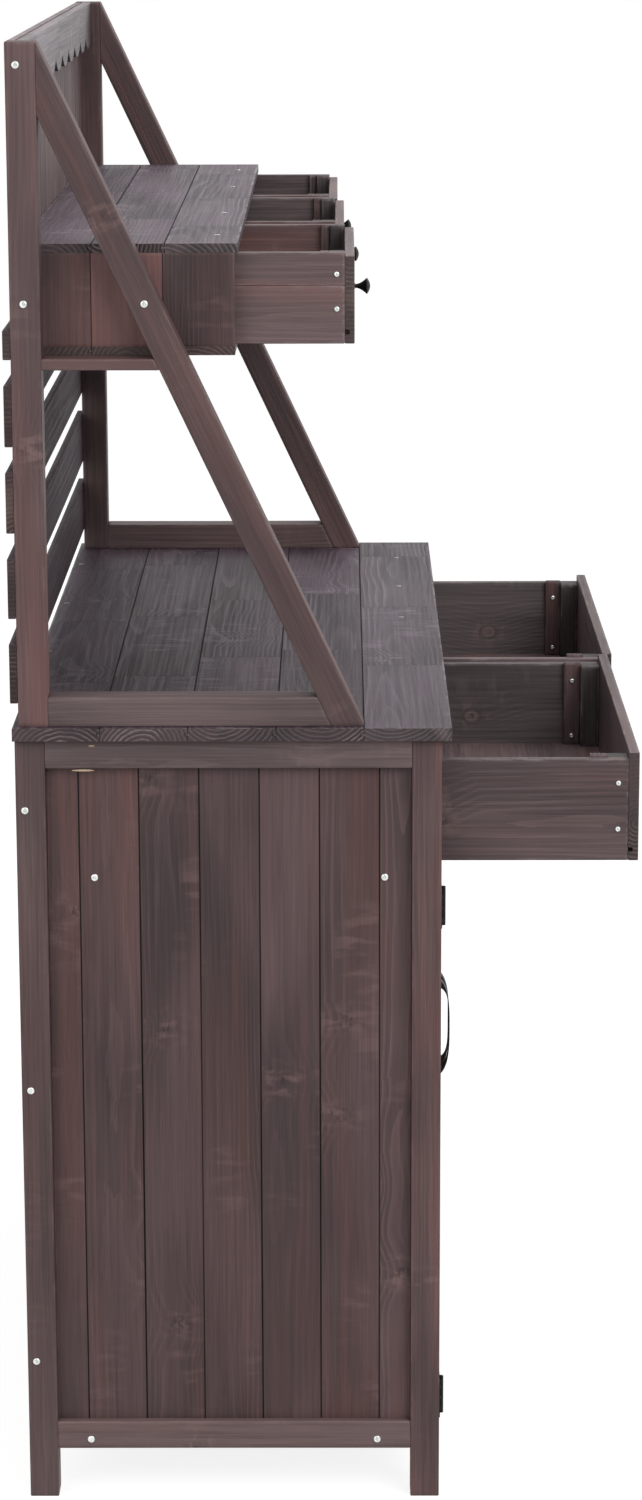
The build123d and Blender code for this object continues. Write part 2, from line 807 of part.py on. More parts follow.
def hinge_pin(low):
    """The pin through a hinge's barrels, with a flat head on the top barrel."""
    height = hinge_height()
    shank = Pos(0, 0, height / 2) * Cylinder(hinge_pin_radius, height)
    head = Pos(0, 0, height + hinge_pin_head / 2) * Cylinder(hinge_knuckle_radius, hinge_pin_head)
    return Pos(-hinge_axis_x, hinge_axis_y, low) * (shank + head)


def drive_frame_screws():
    """The screws that show on the ends of the bench."""
    for height in back_batten_middles():
        spot = (-leg_outer_x, leg_back_y - leg_screw_inset, height)
        through = ["leg_back_left", "leg_back_right", "back_battens"]
        drive_end_screws(spot, leg_screw_length, through)
    for y in (inner_front_y + panel_screw_front_inset, inner_back_y - panel_screw_back_inset):
        spot = (-side_face_x, y, drawer_seat - panel_screw_drop)
        drive_end_screws(spot, panel_screw_length, ["side_boards", "drawer_runners"])
    for y in (inner_front_y + rail_screw_inset, inner_back_y - rail_screw_inset):
        spot = (-leg_outer_x + side_rail_setback, y, cabinet_bottom + floor_cleat_height / 2)
        drive_end_screws(spot, rail_screw_length, ["side_rails", "side_boards", "floor_cleats"])
    shelf_screw_z = shelf_bottom + shelf_screw_height
    top_spot = (-leg_outer_x, post_front_y + post_top_screw_depth, hutch_top - post_top_screw_drop)
    drive_end_screws(top_spot, post_screw_length, ["hutch_posts", "valance"])
    post_spot = (-leg_outer_x, post_front_y + post_shelf_screw_depth, shelf_screw_z)
    drive_end_screws(post_spot, post_screw_length, ["hutch_posts", "shelf_ends"])
    brace_middle = brace_back_y(shelf_screw_z) - lumber / cos(brace_lean) / 2
    brace_spot = (-leg_outer_x, brace_middle, shelf_screw_z)
    drive_end_screws(brace_spot, post_screw_length, ["hutch_braces", "shelf_ends"])


make_cabinet_frame()
make_cabinet_back()
make_cabinet_floor()
make_drawer_carriers()
make_worktop()
make_hutch_frame()
make_hutch_back()
make_shelf_box()
make_large_drawers()
make_small_drawers()
make_doors()
drive_frame_screws()

os.makedirs("parts", exist_ok=True)
for node, solids in pieces.items():
    export_step(Compound(children=solids), f"parts/{node}.step")
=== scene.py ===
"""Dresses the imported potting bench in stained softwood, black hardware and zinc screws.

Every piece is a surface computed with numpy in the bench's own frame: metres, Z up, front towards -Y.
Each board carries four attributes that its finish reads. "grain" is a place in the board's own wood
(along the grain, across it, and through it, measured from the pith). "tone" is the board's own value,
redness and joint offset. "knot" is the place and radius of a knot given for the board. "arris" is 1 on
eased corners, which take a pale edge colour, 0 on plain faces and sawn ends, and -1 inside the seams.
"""

import logging
from dataclasses import dataclass, replace
from enum import Enum
from itertools import chain
from math import atan2, cos, pi, radians, sin, tan

import bpy
import numpy as np
from mathutils import Matrix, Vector
from numpy.typing import NDArray


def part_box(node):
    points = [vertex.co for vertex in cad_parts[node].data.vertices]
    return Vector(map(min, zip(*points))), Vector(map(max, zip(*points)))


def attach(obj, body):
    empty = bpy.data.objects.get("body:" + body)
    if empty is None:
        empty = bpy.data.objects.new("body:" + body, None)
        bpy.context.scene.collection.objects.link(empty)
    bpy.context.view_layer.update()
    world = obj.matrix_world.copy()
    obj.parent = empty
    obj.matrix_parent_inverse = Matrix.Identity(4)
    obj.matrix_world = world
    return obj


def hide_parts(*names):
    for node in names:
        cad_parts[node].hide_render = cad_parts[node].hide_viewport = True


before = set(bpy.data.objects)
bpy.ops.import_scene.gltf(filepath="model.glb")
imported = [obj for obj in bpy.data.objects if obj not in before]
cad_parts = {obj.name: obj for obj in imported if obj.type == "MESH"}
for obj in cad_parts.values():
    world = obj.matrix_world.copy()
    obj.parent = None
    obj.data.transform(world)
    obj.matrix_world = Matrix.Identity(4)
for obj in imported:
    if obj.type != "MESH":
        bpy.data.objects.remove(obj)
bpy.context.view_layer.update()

LOG = logging.getLogger("potting_bench")
BENCH = "bench"
MM = 0.001

Floats = NDArray[np.float64]
Faces = list[list[int]]
Span = tuple[float, float]
Triple = tuple[float, float, float]
Tone = tuple[float, float]
Tones = tuple[Tone, ...]
Material = bpy.types.Material
Socket = bpy.types.NodeSocket
Inputs = dict[int | str, object]
Given = dict[str, Socket]

RIGHT: Triple = (1.0, 0.0, 0.0)
LEFT: Triple = (-1.0, 0.0, 0.0)
FRONT: Triple = (0.0, -1.0, 0.0)
BACK: Triple = (0.0, 1.0, 0.0)
UP: Triple = (0.0, 0.0, 1.0)
DOWN: Triple = (0.0, 0.0, -1.0)
ORIGIN: Triple = (0.0, 0.0, 0.0)
NO_KNOT: Triple = (0.0, 0.0, 0.0)

BLACK = (0.0, 0.0, 0.0, 1.0)
WHITE = (1.0, 1.0, 1.0, 1.0)
RISING: Span = (0.0, 1.0)
FALLING: Span = (1.0, 0.0)
SMOOTH_LIMIT = radians(52)
TINY = 1e-9
EDGE = 1.1 * MM
FINE_EDGE = 0.3 * MM
BOW = 0.25 * MM
SLIDING_BOW = 0.08 * MM
ARRIS_BAND = 3.5 * MM
SEAM_BAND = 0.3 * MM
ARC_MIDDLE = 0.293
SIDE_LIMIT = 0.46
STATION_STEP = 0.09
END_DRAW = 0.7
END_ARRIS = (0.4, 1.0, 0.0)
BOW_AT_ENDS = 0.15
PITH_ASIDE = 0.35
PITH_DEPTH = (0.012, 0.06)
LOG_LENGTH = 40.0
TONE_SPREAD = 0.35


class Slot(Enum):
    """Material slots of the record."""

    FRAME = "frame_wood"
    PANEL = "panel_wood"
    WORKTOP = "worktop_wood"
    DRAWER = "drawer_wood"
    BLACK = "black_metal"
    ZINC = "zinc_steel"


class Run(Enum):
    """The axis that a bar's grain follows."""

    WIDTH = 0
    DEPTH = 1
    HEIGHT = 2


class Cross(Enum):
    """The part of a board that a finish covers."""

    LONG_GRAIN = "long_grain"
    END_GRAIN = "end_grain"


def spans(node: str) -> tuple[Span, Span, Span]:
    """Return a CAD node's ranges along X, Y and Z."""
    low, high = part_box(node)
    return tuple((float(a), float(b)) for a, b in zip(low, high))


def even(start: float, end: float, count: int) -> Floats:
    """Return the edges of equal boards that fill a span."""
    return np.linspace(start, end, count + 1)


def size(span: Span) -> float:
    """Return the length of a span."""
    return span[1] - span[0]


def from_low(span: Span, part: float) -> Span:
    """Return the lower part of a span."""
    return (span[0], span[0] + part)


def from_high(span: Span, part: float) -> Span:
    """Return the upper part of a span."""
    return (span[1] - part, span[1])


def centred(part: float, middle: float = 0.0) -> Span:
    """Return a span of a size about a middle."""
    return (middle - part / 2, middle + part / 2)


def mirrored(span: Span) -> Span:
    """Return the same span on the other side of zero."""
    return (-span[1], -span[0])


def ordered(first: float, second: float) -> Span:
    """Return the span between two places, whichever is the lower."""
    return (min(first, second), max(first, second))


@dataclass
class Surface:
    """Points, faces and point attributes that become one mesh."""

    points: Floats
    faces: Faces
    grain: Floats
    tone: Floats
    knot: Floats
    arris: Floats
    end_faces: list[bool]

    @staticmethod
    def plain(points: Floats, faces: Faces) -> "Surface":
        """Wrap a surface that has no wood in it.

        Args:
            points: Places of the points, one row each.
            faces: Point numbers of every face.

        Returns:
            The surface, with its own points as grain places.
        """
        bare = np.zeros((len(points), 3))
        flags = [False] * len(faces)
        return Surface(points, faces, points.copy(), bare, bare, np.zeros(len(points)), flags)

    @staticmethod
    def joined(parts: list["Surface"]) -> "Surface":
        """Put several surfaces into one, each with its own points.

        Args:
            parts: The surfaces to join.

        Returns:
            One surface that holds them all.
        """
        starts = np.cumsum([0] + [len(part.points) for part in parts[:-1]])
        faces = [
            (np.asarray(face) + start).tolist() for part, start in zip(parts, starts) for face in part.faces
        ]
        return Surface(
            np.concatenate([part.points for part in parts]),
            faces,
            np.concatenate([part.grain for part in parts]),
            np.concatenate([part.tone for part in parts]),
            np.concatenate([part.knot for part in parts]),
            np.concatenate([part.arris for part in parts]),
            [flag for part in parts for flag in part.end_faces],
        )

    def to_object(self, name: str, materials: list[Material]) -> bpy.types.Object:
        """Make a mesh object at the origin.

        Args:
            name: The piece's name.
            materials: The face material, and after it the end-grain material where there is one.

        Returns:
            The linked object.
        """
        mesh = bpy.data.meshes.new(name)
        mesh.from_pydata(self.points.tolist(), [], self.faces)
        for key, values in (("grain", self.grain), ("tone", self.tone), ("knot", self.knot)):
            layer = mesh.attributes.new(key, "FLOAT_VECTOR", "POINT")
            layer.data.foreach_set("vector", values.astype(np.float32).ravel())
        corners = np.fromiter(chain.from_iterable(self.faces), int)
        sawn = np.repeat(self.end_faces, [len(face) for face in self.faces])
        layer = mesh.attributes.new("arris", "FLOAT", "CORNER")
        layer.data.foreach_set("value", np.where(sawn, 0.0, self.arris[corners]).astype(np.float32))
        for material in materials:
            mesh.materials.append(material)
        if len(materials) > 1:
            mesh.polygons.foreach_set("material_index", np.array(self.end_faces, np.int32))
        mesh.polygons.foreach_set("use_smooth", np.ones(len(self.faces), bool))
        mesh.set_sharp_from_angle(angle=SMOOTH_LIMIT)
        mesh.update()
        piece = bpy.data.objects.new(name, mesh)
        bpy.context.scene.collection.objects.link(piece)
        return piece


@dataclass(frozen=True)
class Placement:
    """Where a board's outline starts and how its own axes lie in the bench's frame."""

    origin: Triple = ORIGIN
    across: Triple = RIGHT
    along: Triple = UP

    def axes(self) -> Floats:
        """Return the unit vectors across, inward and along, one per row; inward is along x across.

        Returns:
            The three vectors.
        """
        across = np.array(self.across)
        along = np.array(self.along)
        return np.stack([across, np.cross(along, across), along])


@dataclass(frozen=True)
class Cut:
    """An end of a board: where it lies along the board, and how much further per unit across."""

    at: float
    lean: float = 0.0


@dataclass
class Board:
    """A straight board: an outline carried along a line between two cuts.

    The corners run counter-clockwise in (across, inward) places. Side i runs from corner i to the next,
    and the sides flagged in dirt_and_shade lie in a joint between boards, where the seam is painted dark
    with dirt and painted shade. A knot is a place along and across, and a radius.
    """

    corners: Floats
    place: Placement
    start: Cut
    end: Cut
    arris: float = EDGE
    dirt_and_shade: tuple[bool, ...] = ()
    tone: Tone | None = None
    knot: Triple = NO_KNOT
    bow: float = BOW


def rectangle(u: Span, v: Span) -> Floats:
    """Return the corners of a rectangle, counter-clockwise."""
    return np.array([(u[0], v[0]), (u[1], v[0]), (u[1], v[1]), (u[0], v[1])])


def eased_outline(corners: Floats, radius: float, dirt_and_shade: tuple[bool, ...]) -> tuple[Floats, Floats]:
    """Round every corner of a closed outline with five points.

    A corner C with unit directions a to the corner before and b to the one after becomes C + a(r + band),
    C + ar, C + 0.293(a + b)r, C + br and C + b(r + band). r stays under a third of the shorter side, the
    outer two points stay short of each side's middle, and the band is narrow next to a joint.

    Args:
        corners: The outline's corners, counter-clockwise.
        radius: The rounding r.
        dirt_and_shade: Which sides lie in a joint, to be darkened with dirt and painted shade; none when
            empty.

    Returns:
        The eased points, and their arris values.
    """
    before = np.roll(corners, 1, axis=0) - corners
    after = np.roll(corners, -1, axis=0) - corners
    reach_before = np.linalg.norm(before, axis=1, keepdims=True)
    reach_after = np.linalg.norm(after, axis=1, keepdims=True)
    a = before / reach_before
    b = after / reach_after
    r = np.minimum(radius, np.minimum(reach_before, reach_after) / 3)
    in_joint = np.array(dirt_and_shade or [False] * len(corners))
    joint_before = np.roll(in_joint, 1)
    band = np.where(in_joint | joint_before, SEAM_BAND, ARRIS_BAND)[:, None]
    far_a = np.minimum(r + band, SIDE_LIMIT * reach_before)
    far_b = np.minimum(r + band, SIDE_LIMIT * reach_after)
    rows = [
        corners + a * far_a,
        corners + a * r,
        corners + ARC_MIDDLE * (a + b) * r,
        corners + b * r,
        corners + b * far_b,
    ]
    near = np.where(in_joint | joint_before, -1.0, 1.0)
    values = [np.where(joint_before, -1.0, 0.0), near, near, near, np.where(in_joint, -1.0, 0.0)]
    return np.stack(rows, axis=1).reshape(-1, 2), np.stack(values, axis=1).reshape(-1)


def inset_outline(outline: Floats, depth: float) -> Floats:
    """Move each point of an outline inwards along the mean normal of its two neighbours.

    Args:
        outline: Counter-clockwise points.
        depth: How far to move.

    Returns:
        The smaller outline.
    """
    tangent = np.roll(outline, -1, axis=0) - np.roll(outline, 1, axis=0)
    normal = np.stack([-tangent[:, 1], tangent[:, 0]], axis=1)
    length = np.linalg.norm(normal, axis=1, keepdims=True)
    return outline + depth * normal / np.maximum(length, TINY)


def ring_faces(rings: int, around: int, closed: bool = False) -> Faces:
    """Join rings of points into a tube of quads.

    Args:
        rings: How many rings there are.
        around: How many points each ring has; point numbers run round each ring in turn.
        closed: Whether the last ring meets the first.

    Returns:
        The quads.
    """
    ring, step = np.meshgrid(np.arange(rings if closed else rings - 1), np.arange(around), indexing="ij")
    here = ring * around + step
    beside = ring * around + (step + 1) % around
    quads = np.stack([here, beside, beside + around, here + around], axis=-1) % (rings * around)
    return quads.reshape(-1, 4).tolist()


def tube_faces(rings: int, around: int) -> tuple[Faces, list[bool]]:
    """Join rings of points into a tube with a cap at each end.

    Args:
        rings: How many rings there are.
        around: How many points each ring has.

    Returns:
        The faces, and which of them are caps.
    """
    sides = ring_faces(rings, around)
    last = (rings - 1) * around
    caps = [list(range(around))[::-1], list(range(last, last + around))]
    return sides + caps, [False] * len(sides) + [True, True]


def board_surface(board: Board, rng: np.random.Generator) -> Surface:
    """Carry a board's eased outline between its cuts.

    Ring k lies at w = start + (end - start)s_k + d_k, where the d_k place an eased ring and a band ring
    next to each end. The end rings are drawn in by a share of the arris, so the ends are eased as well.
    The rings bow sideways by bow * sin(pi s + phase), mostly in the middle.

    Args:
        board: The board.
        rng: Source of the board's own wood, tone and bow.

    Returns:
        The closed surface.
    """
    outline, arris = eased_outline(board.corners, board.arris, board.dirt_and_shade)
    small = inset_outline(outline, END_DRAW * board.arris)
    length = board.end.at - board.start.at
    middles = np.linspace(0, 1, max(3, int(length / STATION_STEP)))[1:-1]
    edge = np.array([0.0, board.arris, board.arris + ARRIS_BAND])
    share = np.concatenate([np.zeros(3), middles, np.ones(3)])
    shift = np.concatenate([edge, np.zeros(len(middles)), -edge[::-1]])
    ring_arris = np.concatenate([END_ARRIS, np.zeros(len(middles)), END_ARRIS[::-1]])
    u = np.repeat(outline[None], len(share), axis=0)
    u[0] = small
    u[-1] = small
    start = board.start.at + board.start.lean * u[..., 0]
    end = board.end.at + board.end.lean * u[..., 0]
    w = start + (end - start) * share[:, None] + shift[:, None]
    phase = rng.uniform(0, 2 * pi, 2)
    sway = board.bow * rng.uniform(-1, 1, 2)
    bend = sway * np.sin(pi * share[:, None] + phase) * (BOW_AT_ENDS + np.sin(pi * share))[:, None]
    own = np.concatenate([u + bend[:, None, :], w[..., None]], axis=-1)
    points = np.array(board.place.origin) + own @ board.place.axes()
    low = board.corners.min(axis=0)
    high = board.corners.max(axis=0)
    pith_side = rng.choice([-1.0, 1.0])
    aside = rng.normal(0, PITH_ASIDE) * (high - low)[0]
    pith = (low + high) / 2 + np.array([aside, pith_side * rng.uniform(*PITH_DEPTH)])
    offset = rng.uniform(0, LOG_LENGTH)
    grain = np.concatenate([w[..., None] + offset, u - pith], axis=-1)
    value, red = rng.normal(0, TONE_SPREAD, 2) if board.tone is None else board.tone
    tone = (value, red, rng.uniform(0, 1))
    knot = np.array(board.knot) + np.array([offset, -pith[0], 0.0])
    mask = np.maximum(ring_arris[:, None], arris[None])
    mask = np.where(arris[None] < 0, arris[None], mask)
    faces, ends = tube_faces(*mask.shape)
    return Surface(
        points.reshape(-1, 3),
        faces,
        grain.reshape(-1, 3),
        np.tile(tone, (mask.size, 1)),
        np.tile(knot, (mask.size, 1)),
        mask.reshape(-1),
        ends,
    )


def bar(x: Span, y: Span, z: Span, run: Run, **extra: object) -> Board:
    """Lay a square-edged bar between ranges.

    Args:
        x: Its range along X.
        y: Its range along Y.
        z: Its range along Z.
        run: The axis of its grain.
        **extra: Further fields of the board.

    Returns:
        The board.
    """
    ranges = (x, y, z)
    axes = np.eye(3)
    side = (run.value + 1) % 3
    depth = (run.value + 2) % 3
    corners = rectangle(ranges[side], ranges[depth])
    place = Placement(across=tuple(axes[side]), along=tuple(axes[run.value]))
    return Board(corners, place, Cut(ranges[run.value][0]), Cut(ranges[run.value][1]), **extra)


def three_levels(node: str, height: float) -> list[Board]:
    """Lay bars along the width at the foot, middle and top of a CAD node.

    Args:
        node: The CAD node.
        height: Each bar's height.

    Returns:
        The boards.
    """
    x, y, z = spans(node)
    levels = (from_low(z, height), centred(height, sum(z) / 2), from_high(z, height))
    return [bar(x, y, level, Run.WIDTH) for level in levels]


def ends_and_middle(node: str, width: float) -> list[Board]:
    """Lay bars along the depth of a CAD node: two inside the ends, and one in the middle to the back.

    Args:
        node: The CAD node.
        width: Each bar's width.

    Returns:
        The boards.
    """
    x, y, z = spans(node)
    end = from_low(x, width)
    end_y = (y[0], spans("side_boards")[1][1])
    places = ((end, end_y), (mirrored(end), end_y), (centred(width), y))
    return [bar(wide, deep, z, Run.DEPTH) for wide, deep in places]


@dataclass(frozen=True)
class Matching:
    """The tongue, groove and face chamfer along the edges of matched boards."""

    tongue: float = 3.0 * MM
    depth: float = 4.0 * MM
    chamfer: float = 0.45 * MM
    opening: float = 0.2 * MM

    def outline(
        self, left: float, right: float, thickness: float, first: bool, last: bool
    ) -> tuple[Floats, list[bool]]:
        """Draw one board's cross-section, face on the across axis.

        Args:
            left: Left edge.
            right: Right edge.
            thickness: From face to back.
            first: Whether the left edge is free.
            last: Whether the right edge is free.

        Returns:
            The corners, and which sides lie in a joint.
        """
        low = (thickness - self.tongue) / 2
        high = (thickness + self.tongue) / 2
        start = left if first else left + self.opening
        stop = right if last else right - self.opening
        corners = [(start + self.chamfer, 0.0), (stop - self.chamfer, 0.0), (stop, self.chamfer)]
        dirt_and_shade = [False, not last, not last]
        if not last:
            tip = right + self.depth
            corners += [(stop, low), (tip, low), (tip, high), (stop, high)]
            dirt_and_shade += [True] * 4
        corners += [(stop, thickness), (start, thickness)]
        dirt_and_shade += [False, not first]
        if not first:
            root = left + self.depth + self.opening
            corners += [(start, high), (root, high), (root, low), (start, low)]
            dirt_and_shade += [True] * 4
        corners.append((start, self.chamfer))
        dirt_and_shade.append(not first)
        return np.array(corners), dirt_and_shade

    def row(
        self, edges: Floats, thickness: float, length: float, place: Placement, tones: Tones | None = None
    ) -> list[Board]:
        """Lay matched boards side by side.

        Args:
            edges: Places of the seams and the two free edges, across the row.
            thickness: From face to back.
            length: Along the boards.
            place: Where the row's face lies.
            tones: Value and redness of each board, where they are given.

        Returns:
            The boards.
        """
        last = len(edges) - 2
        boards = []
        for index, (left, right) in enumerate(zip(edges, edges[1:])):
            corners, dirt_and_shade = self.outline(left, right, thickness, index == 0, index == last)
            tone = tones[index] if tones else None
            boards.append(Board(corners, place, Cut(0.0), Cut(length), FINE_EDGE, tuple(dirt_and_shade), tone))
        return boards

    def upright(self, node: str, count: int, tones: Tones | None = None) -> list[Board]:
        """Fill a CAD node with upright boards, faced to the front.

        Args:
            node: The CAD node.
            count: How many boards.
            tones: Their tones, where they are given.

        Returns:
            The boards.
        """
        x, y, z = spans(node)
        return self.row(even(*x, count), size(y), size(z), Placement((0.0, y[0], z[0]), RIGHT, UP), tones)

    def level(self, node: str, count: int, tones: Tones | None = None) -> list[Board]:
        """Fill a CAD node with boards that run along the bench, faced up.

        Args:
            node: The CAD node.
            count: How many boards.
            tones: Their tones, where they are given.

        Returns:
            The boards.
        """
        x, y, z = spans(node)
        return self.row(even(*y, count), size(z), size(x), Placement((x[1], 0.0, z[1]), BACK, LEFT), tones)

    def ends(self, node: str, edges: Floats, thickness: float, tones: Tones) -> list[Board]:
        """Lay upright boards on both ends of a CAD node, faced out.

        Args:
            node: The CAD node.
            edges: Places of the seams and the free edges, in depth.
            thickness: From face to back.
            tones: Tones of the left end's boards, from the front.

        Returns:
            The left end's boards, then the right end's.
        """
        x, _, z = spans(node)
        left = Placement((x[0], 0.0, z[1]), BACK, DOWN)
        right = Placement((x[1], 0.0, z[0]), BACK, UP)
        near = self.row(edges, thickness, size(z), left, tones)
        return near + self.row(edges, thickness, size(z), right)


MATCHING = Matching()
CLOSE_MATCHING = Matching(chamfer=0.2 * MM, opening=0.08 * MM)


def stain(code: str) -> tuple[float, float, float, float]:
    """Turn a hex colour into linear light by the sRGB curve, with full alpha.

    Args:
        code: The colour, as "#rrggbb".

    Returns:
        Red, green, blue and alpha.
    """
    shown = np.array([int(code[place : place + 2], 16) for place in (1, 3, 5)]) / 255
    linear = np.where(shown <= 0.04045, shown / 12.92, ((shown + 0.055) / 1.055) ** 2.4)
    return (*linear.tolist(), 1.0)


@dataclass(frozen=True)
class Noise:
    """A fractal noise with its own scale on each axis, and the values between which a mask of it rises."""

    scale: Triple
    detail: float = 2.0
    soft: float = 0.5
    edge: Span = RISING

    def inputs(self) -> Inputs:
        """Return what a noise node is set to; its scale is applied to the place."""
        return {"Scale": 1.0, "Detail": self.detail, "Roughness": self.soft}


@dataclass(frozen=True)
class Mark:
    """A round mark in the wood that fades between two distances, told in radii of the knot."""

    inner: float
    outer: float
    strength: float


class Canvas:
    """Adds and links the nodes of one shader tree."""

    def __init__(self, tree: bpy.types.NodeTree) -> None:
        """Start on a tree, with none of its default nodes."""
        self.tree = tree
        tree.nodes.clear()

    def node(self, kind: str, inputs: Inputs | None = None, **settings: object) -> bpy.types.Node:
        """Add a node and feed its inputs.

        Args:
            kind: The node's type name.
            inputs: A socket to link or a plain value to set, by the input's name or number.
            **settings: Properties to set on the node.

        Returns:
            The node.
        """
        made = self.tree.nodes.new(kind)
        for key, value in settings.items():
            setattr(made, key, value)
        for key, source in (inputs or {}).items():
            if isinstance(source, Socket):
                self.tree.links.new(source, made.inputs[key])
            else:
                made.inputs[key].default_value = source
        return made

    def math(self, operation: str, *values: object, clamp: bool = False) -> Socket:
        """Return the result of one math operation on up to three values."""
        inputs = dict(enumerate(values))
        return self.node("ShaderNodeMath", inputs, operation=operation, use_clamp=clamp).outputs[0]

    def times(self, first: object, second: object) -> Socket:
        """Return the product of two values."""
        return self.math("MULTIPLY", first, second)

    def vector(self, operation: str, first: object, second: object) -> Socket:
        """Return the result of one vector operation."""
        return self.node("ShaderNodeVectorMath", {0: first, 1: second}, operation=operation).outputs[0]

    def split(self, vector: Socket) -> list[Socket]:
        """Return the three parts of a vector."""
        return list(self.node("ShaderNodeSeparateXYZ", {0: vector}).outputs)

    def combine(self, x: object, y: object, z: object) -> Socket:
        """Return a vector made of three values."""
        return self.node("ShaderNodeCombineXYZ", {0: x, 1: y, 2: z}).outputs[0]

    def ramp(self, value: object, low: float, high: float, to: Span = RISING) -> Socket:
        """Return a value carried smoothly from the range low to high onto another range."""
        inputs = dict(enumerate((value, low, high, *to)))
        return self.node("ShaderNodeMapRange", inputs, interpolation_type="SMOOTHSTEP").outputs[0]

    def noise(self, vector: object, noise: Noise) -> Socket:
        """Return a noise's value at a place."""
        place = self.vector("MULTIPLY", vector, noise.scale)
        return self.node("ShaderNodeTexNoise", {"Vector": place, **noise.inputs()}).outputs["Fac"]

    def mask(self, vector: object, noise: Noise, to: Span = RISING) -> Socket:
        """Return a noise carried smoothly from its edge values onto a range."""
        return self.ramp(self.noise(vector, noise), *noise.edge, to)

    def blend(self, factor: object, under: object, over: object) -> Socket:
        """Return two colours mixed by a factor."""
        return self.node("ShaderNodeMix", {0: factor, 6: under, 7: over}, data_type="RGBA").outputs[2]

    def attribute(self, name: str, output: str = "Vector") -> Socket:
        """Return one of the piece's own attributes."""
        return self.node("ShaderNodeAttribute", attribute_name=name).outputs[output]

    def bump(self, height: object, strength: float, distance: float) -> Socket:
        """Return a normal that follows a height."""
        inputs = {"Height": height, "Strength": strength, "Distance": distance}
        return self.node("ShaderNodeBump", inputs).outputs["Normal"]

    def group(self, name: str, inputs: Inputs) -> bpy.types.Node:
        """Return a node that stands for a node group."""
        return self.node("ShaderNodeGroup", inputs, node_tree=bpy.data.node_groups[name])

    def show(self, shader: Socket, kind: str = "ShaderNodeOutputMaterial") -> None:
        """Make a shader the surface of the whole tree."""
        self.node(kind, {"Surface": shader})


def new_material(name: str) -> tuple[Material, Canvas]:
    """Start a material.

    Args:
        name: The material's name.

    Returns:
        The material and its canvas.
    """
    made = bpy.data.materials.new(name)
    made.use_nodes = True
    return made, Canvas(made.node_tree)


class NodeGroup:
    """A shader node group, built once and used by name."""

    NAME: str
    INPUTS: dict[str, str]
    OUTPUTS: dict[str, str]

    def build(self) -> None:
        """Build the group: its sockets, and between them what the kind of group draws."""
        tree = bpy.data.node_groups.new(self.NAME, "ShaderNodeTree")
        for flow, sockets in (("INPUT", self.INPUTS), ("OUTPUT", self.OUTPUTS)):
            for key, kind in sockets.items():
                tree.interface.new_socket(name=key, in_out=flow, socket_type=f"NodeSocket{kind}")
        pen = Canvas(tree)
        given = {socket.name: socket for socket in pen.node("NodeGroupInput").outputs}
        pen.node("NodeGroupOutput", self.draw(pen, given))

    def draw(self, pen: Canvas, given: Given) -> Inputs:
        """Draw the group's nodes from its inputs, and return what its outputs show."""
        raise NotImplementedError


